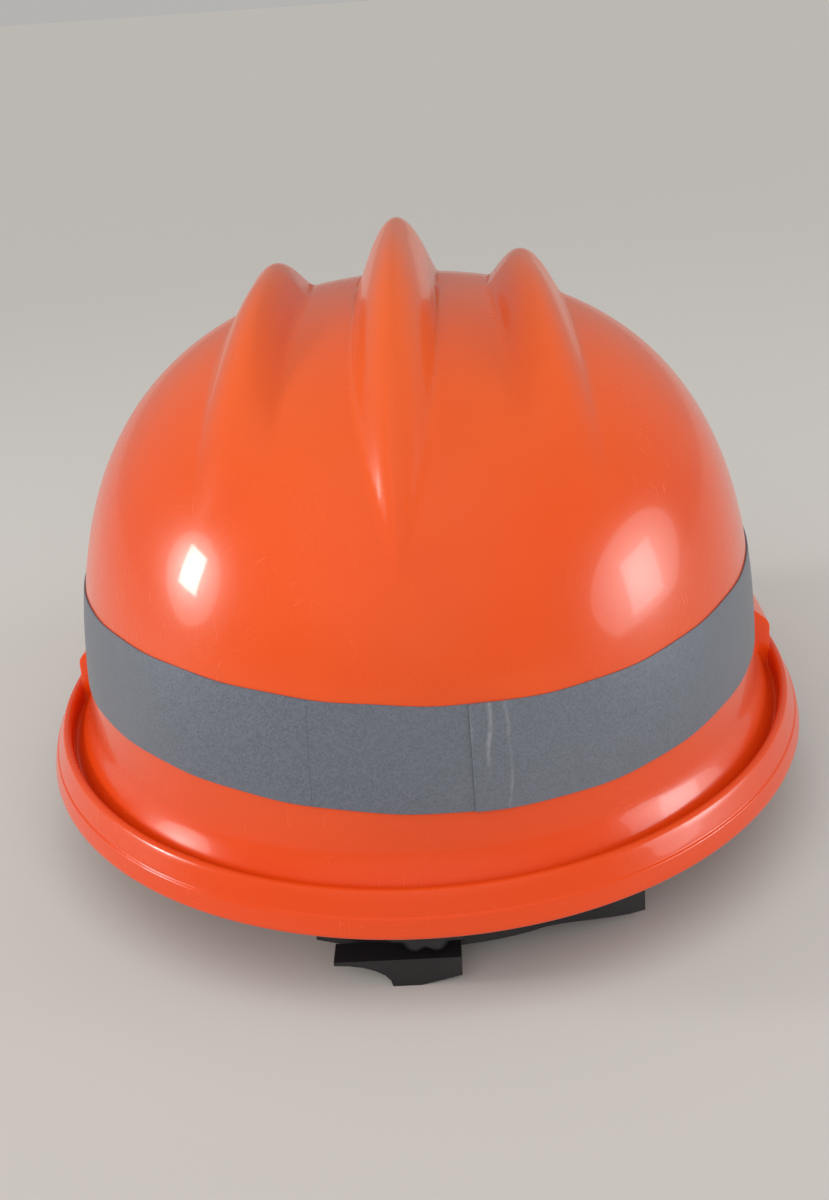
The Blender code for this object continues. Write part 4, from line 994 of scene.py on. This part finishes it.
def blown_up(name, width, height, seams, paint):
    """Heights of a flat cloth panel, sewn down along its edge and seams, after pressure puffs it up."""
    columns, rows = round(width / CLOTH_STEP) + 1, round(height / CLOTH_STEP) + 1
    x = np.linspace(-width / 2, width / 2, columns)
    y = np.linspace(-height / 2, height / 2, rows)
    to_seam = np.abs(x[:, None] - np.array(seams)[None, :]).min(axis=1)
    sewn = np.zeros((columns, rows), bool)
    sewn[[0, -1], :] = sewn[:, [0, -1]] = True
    sewn[to_seam < CLOTH_STEP * 0.55, 2:-2] = True
    points = [(u * CLOTH_SCALE, v * CLOTH_SCALE, 0) for u in x for v in y]
    faces = [[i * rows + j, (i + 1) * rows + j, (i + 1) * rows + j + 1, i * rows + j + 1]
             for i in range(columns - 1) for j in range(rows - 1)]
    panel = add_mesh(name + "_cloth", points, faces, paint)
    group = panel.vertex_groups.new(name="sewn")
    group.add(np.flatnonzero(sewn).tolist(), 1.0, "REPLACE")
    cloth = panel.modifiers.new("cloth", "CLOTH")
    for setting, value in CLOTH_SETTINGS.items():
        setattr(cloth.settings, setting, value)
    cloth.settings.effector_weights.gravity = 0
    cloth.collision_settings.use_collision = False
    cloth.point_cache.frame_end = CLOTH_FRAMES
    for moment in range(1, CLOTH_FRAMES + 1):
        bpy.context.scene.frame_set(moment)
    settled(panel)
    heights = np.array([vertex.co.z for vertex in panel.data.vertices]).reshape(columns, rows)
    bpy.data.objects.remove(panel)
    bpy.context.scene.frame_set(1)
    heights = np.abs(heights) / CLOTH_SCALE
    if heights.max() < 0.1 * MM:
        raise RuntimeError("the cloth of " + name + " did not puff up")
    return x, y, PAD_RISE * np.tanh(heights / heights.max() * CLOTH_FLATNESS) / math.tanh(CLOTH_FLATNESS)


def build_pad(name, node, body, size, seams, place, paint, thread):
    """Quilted pad with a flat back; place turns distances along, up and over it into points."""
    width, height = size
    x, y, puff = blown_up(name, width, height, seams, paint)
    to_end = np.clip((np.abs(x) - (width / 2 - PAD_CORNER)) / PAD_CORNER, 0, 1)
    narrow = (1 - PAD_NARROWING * to_end ** 2.5)[:, None]
    up = y[None, :] * narrow
    front = place(x[:, None], up, PAD_EDGE + puff)
    back = place(x[:, None], up, np.zeros_like(puff))
    around = np.concatenate([front, back[:, ::-1]], axis=1)
    pad = loft(name, around, paint, 70, weave=(x, np.concatenate([y, y[::-1]])))
    rounder = pad.modifiers.new("rounder", "SUBSURF")
    rounder.levels = rounder.render_levels = 1
    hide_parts(node)
    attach(pad, body)
    lines = []
    for seam in seams:
        column = int(np.abs(x - seam).argmin())
        spots = front[column, 2:-2]
        above = place(x[column:column + 1, None], up[column:column + 1], SEAM_AIM + 0 * puff[:1])
        lines.append((spots, above[0, 2:-2] - spots))
    stitches = sew(name + "_stitches", lines, thread, PAD_STITCH_PITCH)
    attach(stitches, body)


def even_seams(width, count):
    """Places of seams that split a width into equal channels."""
    return [width * ((k + 1) / (count + 1) - 0.5) for k in range(count)]


def build_pads(paint, thread):
    angles = np.linspace(180 - BROW_HALF_ANGLE, 180 + BROW_HALF_ANGLE, 209)
    contact = band_radius(angles) - BAND_THICKNESS / 2 - GAP
    line = nape_row(contact, angles, 0.0)
    travel = np.concatenate([[0], np.cumsum(np.linalg.norm(np.diff(line, axis=0), axis=1))])
    low, high = (float(edge) for edge in band_edges(180.0))
    brow = (float(travel[-1]), high - low + sum(BROW_TRIM))

    def on_brow(along, up, height):
        degrees = np.interp(along + brow[0] / 2, travel, angles)
        bottom, top = band_edges(degrees)
        share = up / brow[1] + 0.5
        z = mix(bottom - BROW_TRIM[0], top + BROW_TRIM[1], share)
        return nape_row(band_radius(degrees) - BAND_THICKNESS / 2 - GAP - height, degrees, z)

    seams = even_seams(brow[0], BROW_SEAMS)
    build_pad("brow_pad_cover", "brow_pad", "helmet", brow, seams, on_brow, paint, thread)
    nape = (2 * math.radians(NAPE_PAD_HALF_ANGLE) * NAPE_PAD_RADIUS, NAPE_PAD_Z[1] - NAPE_PAD_Z[0])

    def on_nape(along, up, height):
        z = sum(NAPE_PAD_Z) / 2 + up
        return nape_row(NAPE_PAD_RADIUS - height, np.degrees(along / NAPE_PAD_RADIUS), z)

    seams = even_seams(nape[0], NAPE_SEAMS)
    build_pad("nape_pad_cover", "nape_pad", "nape", nape, seams, on_nape, paint, thread)


# ---------------------------------------------------------------- nape ratchet
AXLE_Z = -3 * MM
RACK_RADIUS = 66 * MM
RACK_THICKNESS = 2.0 * MM
GEAR_MODULE = 1.3 * MM
PINION_TEETH = 10
PITCH_RADIUS = GEAR_MODULE * PINION_TEETH / 2
TOOTH_TIP = 0.7 * MM
TOOTH_ROOT = 1.0 * MM
TOOTH_BACKLASH = 0.4 * MM
PRESSURE_ANGLE = math.radians(20)
RACK_END = 88
RACK_TEETH = range(-4, 4)
RACK_WIDEN = (33, 40)
RACK_HEIGHT = 5.7 * MM
RACK_STRAP_HEIGHT = 21 * MM
RACK_CHAMFER = 0.25 * MM
RACK_TRIM = 3 * MM            # its end is trimmed by this much over this many degrees
RACK_TRIMMED = 5
RACK_SLOTS = (48, 57, 66)     # degrees along the strap
RACK_SLOT_Z = 5.2 * MM
RACK_SLOT_HALF = (3.4 * MM, 2.1 * MM)
RACK_SLOT_TOOL = 3 * MM       # the slots' tool bodies reach this far to either side of the strap
KNOB_BACK = 77.6 * MM
KNOB_LOBES = 12
KNOB_LOBE_DEPTH = 1.3 * MM
KNOB_LOBE_POWER = 1.3
KNOB_LOBED = (9.4, 12.0)      # radii in millimetres between which the lobes deepen
KNOB_STEPS = 240
KNOB_DISH = 0.9 * MM
KNOB_BORE_END = 75.4 * MM
# (radius, distance in front of the rearmost face) in millimetres of the knob's grip, from its dish to its rim
KNOB_BACK_PROFILE = [(3, 0.9), (6.8, 0.9), (7.4, 0.75), (7.9, 0.25), (8.4, 0.05), (9.2, 0), (10.2, 0.05),
                     (11.3, 0.35), (12.2, 0.9), (12.8, 1.6), (13.0, 2.4), (13.0, 4.0), (13.0, 5.4),
                     (12.8, 5.9), (12.4, 6.1)]
# (radius, distance from the nape centre) in millimetres of its front: spring recess, shaft and screw bore
KNOB_FRONT_PROFILE = [(10.4, 71.5), (10.4, 73.1), (6.4, 73.1), (6.4, 71.5), (3.6, 71.5), (3.6, 68.5),
                      (1.8, 68.5), (1.8, 75.4)]


def rack_stations():
    """Places along the arc, in degrees: every tooth corner, then one a degree."""
    half = math.pi * GEAR_MODULE / 4 - TOOTH_BACKLASH / 2
    half_tip = half - TOOTH_TIP * math.tan(PRESSURE_ANGLE)
    half_root = half + TOOTH_ROOT * math.tan(PRESSURE_ANGLE)
    stations = []
    for tooth in RACK_TEETH:
        centre = tooth * math.pi * GEAR_MODULE
        stations += [(centre - half_root, -TOOTH_ROOT), (centre - half_tip, TOOTH_TIP),
                     (centre + half_tip, TOOTH_TIP), (centre + half_root, -TOOTH_ROOT)]
    stations = [(math.degrees(arc / RACK_RADIUS), edge) for arc, edge in stations]
    plain = np.arange(math.ceil(stations[-1][0]) + 1, RACK_END + 0.01, 1.0)
    start = [(stations[0][0] - 1.0, -TOOTH_ROOT)]
    return start + stations + [(float(degrees), -TOOTH_ROOT) for degrees in plain]


def build_rack(name, side, node, body, paint):
    """Toothed strap: the left one runs over the pinion, the right one under it."""
    inner, outer = RACK_RADIUS - RACK_THICKNESS / 2, RACK_RADIUS + RACK_THICKNESS / 2
    c = RACK_CHAMFER
    rings = []
    for degrees, edge in rack_stations():
        widen = float(smooth_step(*RACK_WIDEN, degrees))
        trim = RACK_TRIM * float(smooth_step(RACK_END - RACK_TRIMMED, RACK_END, degrees))
        near = PITCH_RADIUS - edge - widen * (RACK_STRAP_HEIGHT - RACK_HEIGHT) + trim
        far = PITCH_RADIUS + TOOTH_ROOT + RACK_HEIGHT - trim
        low, high = sorted((AXLE_Z - side * near, AXLE_Z - side * far))
        section = [(inner + c, low), (outer - c, low), (outer, low + c), (outer, high - c), (outer - c, high),
                   (inner + c, high), (inner, high - c), (inner, low + c)]
        rings.append([nape_row(r, side * degrees, z) for r, z in section])
    rack = loft(name, rings, paint, 30)
    height = AXLE_Z + side * RACK_SLOT_Z
    cut(rack, [rack_slot(side * degrees, height, paint) for degrees in RACK_SLOTS], sharp=30)
    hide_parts(node)
    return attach(rack, body)


def rack_slot(degrees, height, paint):
    """Tool body of a long round-ended slot through a rack's strap."""
    half_width, half_height = RACK_SLOT_HALF
    outline = rounded_box((-half_width, half_width), (-half_height, half_height), half_height * 0.98, 6)
    rings = []
    for reach in (RACK_RADIUS - RACK_SLOT_TOOL, RACK_RADIUS + RACK_SLOT_TOOL):
        rings.append([nape_row(reach, degrees + math.degrees(u / reach), height + z) for u, z in outline])
    return loft("slot", rings, paint)


def knob_ring(radius, rearward, lobed):
    """Ring of the knob at a distance behind the nape centre; lobed runs from 0 for round to 1."""
    turn = np.arange(KNOB_STEPS) * math.tau / KNOB_STEPS
    depth = KNOB_LOBE_DEPTH * lobed * (0.5 + 0.5 * np.cos(turn * KNOB_LOBES)) ** KNOB_LOBE_POWER
    r = radius - depth
    return row(r * np.cos(turn), NAPE_Y - rearward, AXLE_Z + r * np.sin(turn))


def build_knob(paint):
    """Grip knob with scalloped edge, dished face, spring recess and the shaft that reaches the pinion."""
    rings = []
    for radius, ahead in KNOB_BACK_PROFILE:
        lobed = float(smooth_step(*KNOB_LOBED, radius))
        rings.append(knob_ring(radius * MM, KNOB_BACK - ahead * MM, lobed))
    rings += [knob_ring(radius * MM, rearward * MM, 0.0) for radius, rearward in KNOB_FRONT_PROFILE]
    dish = row(0, NAPE_Y - KNOB_BACK + KNOB_DISH, AXLE_Z).tolist()
    bore = row(0, NAPE_Y - KNOB_BORE_END, AXLE_Z).tolist()
    knob = loft("ratchet_knob_grip", rings, paint, 35, (dish, bore))
    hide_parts("ratchet_knob")
    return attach(knob, "knob")


# ---------------------------------------------------------------- stage
CAMERA_DISTANCE = 0.4696
CAMERA_ELEVATION = math.radians(21.78)
CAMERA_TURN = math.radians(-2.248)
CAMERA_ROLL = math.radians(-3.99)
CAMERA_AIM = (-1.25 * MM, 29.6 * MM)      # sideways and upward, from the dome's centre
CAMERA_LENS = 46.1
LIGHT_SPREAD = math.radians(70)
LIGHT_AIM = (0, 0, 0.08)
WARM = (1.0, 0.98, 0.95)
COOL = (0.97, 0.98, 1.0)
# name, place, size, power and colour of the windows that the shell mirrors
WINDOWS = (
    ("window_left", (-1.32, -0.14, 0.42), (0.20, 0.26), 0.70, WARM),
    ("window_left_glow", (-1.40, -0.16, 0.40), (0.60, 0.60), 0.46, WARM),
    ("window_right", (1.30, -0.10, 0.20), (0.34, 0.30), 0.24, COOL),
    ("window_right_glow", (1.36, -0.12, 0.24), (1.05, 0.62), 0.86, COOL),
)
SKY_POWER = 2.1
SKY_ANGLE = math.radians(80)
SKY_TURN = (math.radians(42), math.radians(-4), 0)
FLOOR_HALF = 30
FLOOR_COLOUR = (0.62, 0.60, 0.57, 1)
ROOM_COLOUR = (0.92, 0.88, 0.85, 1)
ROOM_LIGHT = 0.34
BACKDROP_COLOUR = (0.456, 0.451, 0.440, 1)     # what the camera sees behind the floor


def build_camera():
    """The fitted view: turned about the dome's centre, tipped down and rolled."""
    down, turn, roll = CAMERA_ELEVATION, CAMERA_TURN, CAMERA_ROLL
    side = Vector((1, 0, 0))
    up = Vector((0, math.sin(down), math.cos(down)))
    forward = Vector((0, math.cos(down), -math.sin(down)))
    place = side * CAMERA_AIM[0] + up * CAMERA_AIM[1] - forward * CAMERA_DISTANCE
    right = side * math.cos(roll) + up * math.sin(roll)
    top = up * math.cos(roll) - side * math.sin(roll)
    spin = Matrix.Rotation(-turn, 3, "Z")
    axes = Matrix((spin @ right, spin @ top, -(spin @ forward))).transposed().to_4x4()
    axes.translation = spin @ place + Vector((0, DOME_Y, RIM_Z))
    lens = bpy.data.cameras.new("camera")
    lens.lens = CAMERA_LENS
    lens.clip_start = 0.01
    camera = bpy.data.objects.new("camera", lens)
    camera.matrix_world = axes
    bpy.context.collection.objects.link(camera)
    bpy.context.scene.camera = camera


def area_light(name, place, size, power, colour):
    data = bpy.data.lights.new(name, "AREA")
    data.shape = "ELLIPSE" if name.endswith("glow") else "RECTANGLE"
    data.size, data.size_y = size
    data.energy = power
    data.color = colour
    data.spread = LIGHT_SPREAD
    made = bpy.data.objects.new(name, data)
    made.location = place
    made.rotation_euler = (Vector(LIGHT_AIM) - Vector(place)).to_track_quat("-Z", "Y").to_euler()
    bpy.context.collection.objects.link(made)


def build_stage():
    """Pale floor, soft room, two windows with their glow and a soft sky."""
    pale = Paint("pale_floor", Base_Color=FLOOR_COLOUR, Roughness=0.6, Specular_IOR_Level=0.0).material
    corners = [(x * FLOOR_HALF, y * FLOOR_HALF, 0) for x, y in ((-1, -1), (1, -1), (1, 1), (-1, 1))]
    floor = add_mesh("floor", corners, [[0, 1, 2, 3]], pale)
    world = bpy.data.worlds.new("soft_room")
    world.use_nodes = True
    nodes, links = world.node_tree.nodes, world.node_tree.links
    room, backdrop = nodes["Background"], nodes.new("ShaderNodeBackground")
    room.inputs[0].default_value = ROOM_COLOUR
    room.inputs[1].default_value = ROOM_LIGHT
    backdrop.inputs[0].default_value = BACKDROP_COLOUR
    seen, either = nodes.new("ShaderNodeLightPath"), nodes.new("ShaderNodeMixShader")
    links.new(seen.outputs["Is Camera Ray"], either.inputs[0])
    links.new(room.outputs[0], either.inputs[1])
    links.new(backdrop.outputs[0], either.inputs[2])
    links.new(either.outputs[0], nodes["World Output"].inputs[0])
    bpy.context.scene.world = world
    bpy.context.scene.view_settings.view_transform = "Standard"
    for window in WINDOWS:
        area_light(*window)
    sun = bpy.data.lights.new("soft_sky", "SUN")
    sun.energy = SKY_POWER
    sun.angle = SKY_ANGLE
    overhead = bpy.data.objects.new("soft_sky", sun)
    overhead.rotation_euler = SKY_TURN
    overhead.visible_glossy = False
    bpy.context.collection.objects.link(overhead)


# ---------------------------------------------------------------- assembly
orange = shell_paint()
film = tape_paint()
black = plastic_paint("black_plastic", BLACK, 0.46)
acetal = plastic_paint("pinion_plastic", ACETAL, 0.42)
steel = steel_paint()
webbing = woven_paint("webbing", BLACK_YARN, BLACK_YARN_LIT, 1.1, 0.00025, 0.75)
pad_cloth = woven_paint("pad_fabric", BLACK, PAD_YARN_LIT, 0.7, 0.00020, 0.9)
thread = woven_paint("sewing_thread", GREY_THREAD, GREY_THREAD_LIT, 0.4, 0.00005, 0.7)

# CAD nodes that show as they are: material and width of the rounded edges
KEPT_NODES = {
    "strap_key_": (black, 0.35 * MM),
    "rear_hanger_": (black, 0.3 * MM),
    "nape_carrier": (black, 0.35 * MM),
    "ratchet_base": (black, 0.3 * MM),
    "ratchet_cover": (black, 0.5 * MM),
    "ratchet_pinion": (acetal, 0.12 * MM),
    "axle_screw": (steel, 0.2 * MM),
    "detent_spring": (steel, 0.12 * MM),
}

build_shell(orange)
for key_name, key_degrees in KEY_ANGLES.items():
    build_boss(key_name, key_degrees, orange)
for tape_name, (tape_span, tape_laps, tape_node) in TAPE_PIECES.items():
    build_tape(tape_name, tape_span, tape_laps, tape_node, film)
for strap_layer, (strap_name, strap_ends) in enumerate(STRAPS.items()):
    build_strap(strap_name, strap_ends, strap_layer, webbing)
    strap_stitches(strap_name, strap_ends, strap_layer, thread)
build_crown_joint(webbing, thread)
build_headband(black)
build_pads(pad_cloth, thread)
build_rack("rack_strap_left", -1, "rack_left", "strap_left", black)
build_rack("rack_strap_right", 1, "rack_right", "strap_right", black)
build_knob(black)
for node_name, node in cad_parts.items():
    for start, (node_paint, edge_width) in KEPT_NODES.items():
        if node_name.startswith(start):
            node.data.materials.clear()
            node.data.materials.append(node_paint)
            soften(node, edge_width)
build_camera()
build_stage()
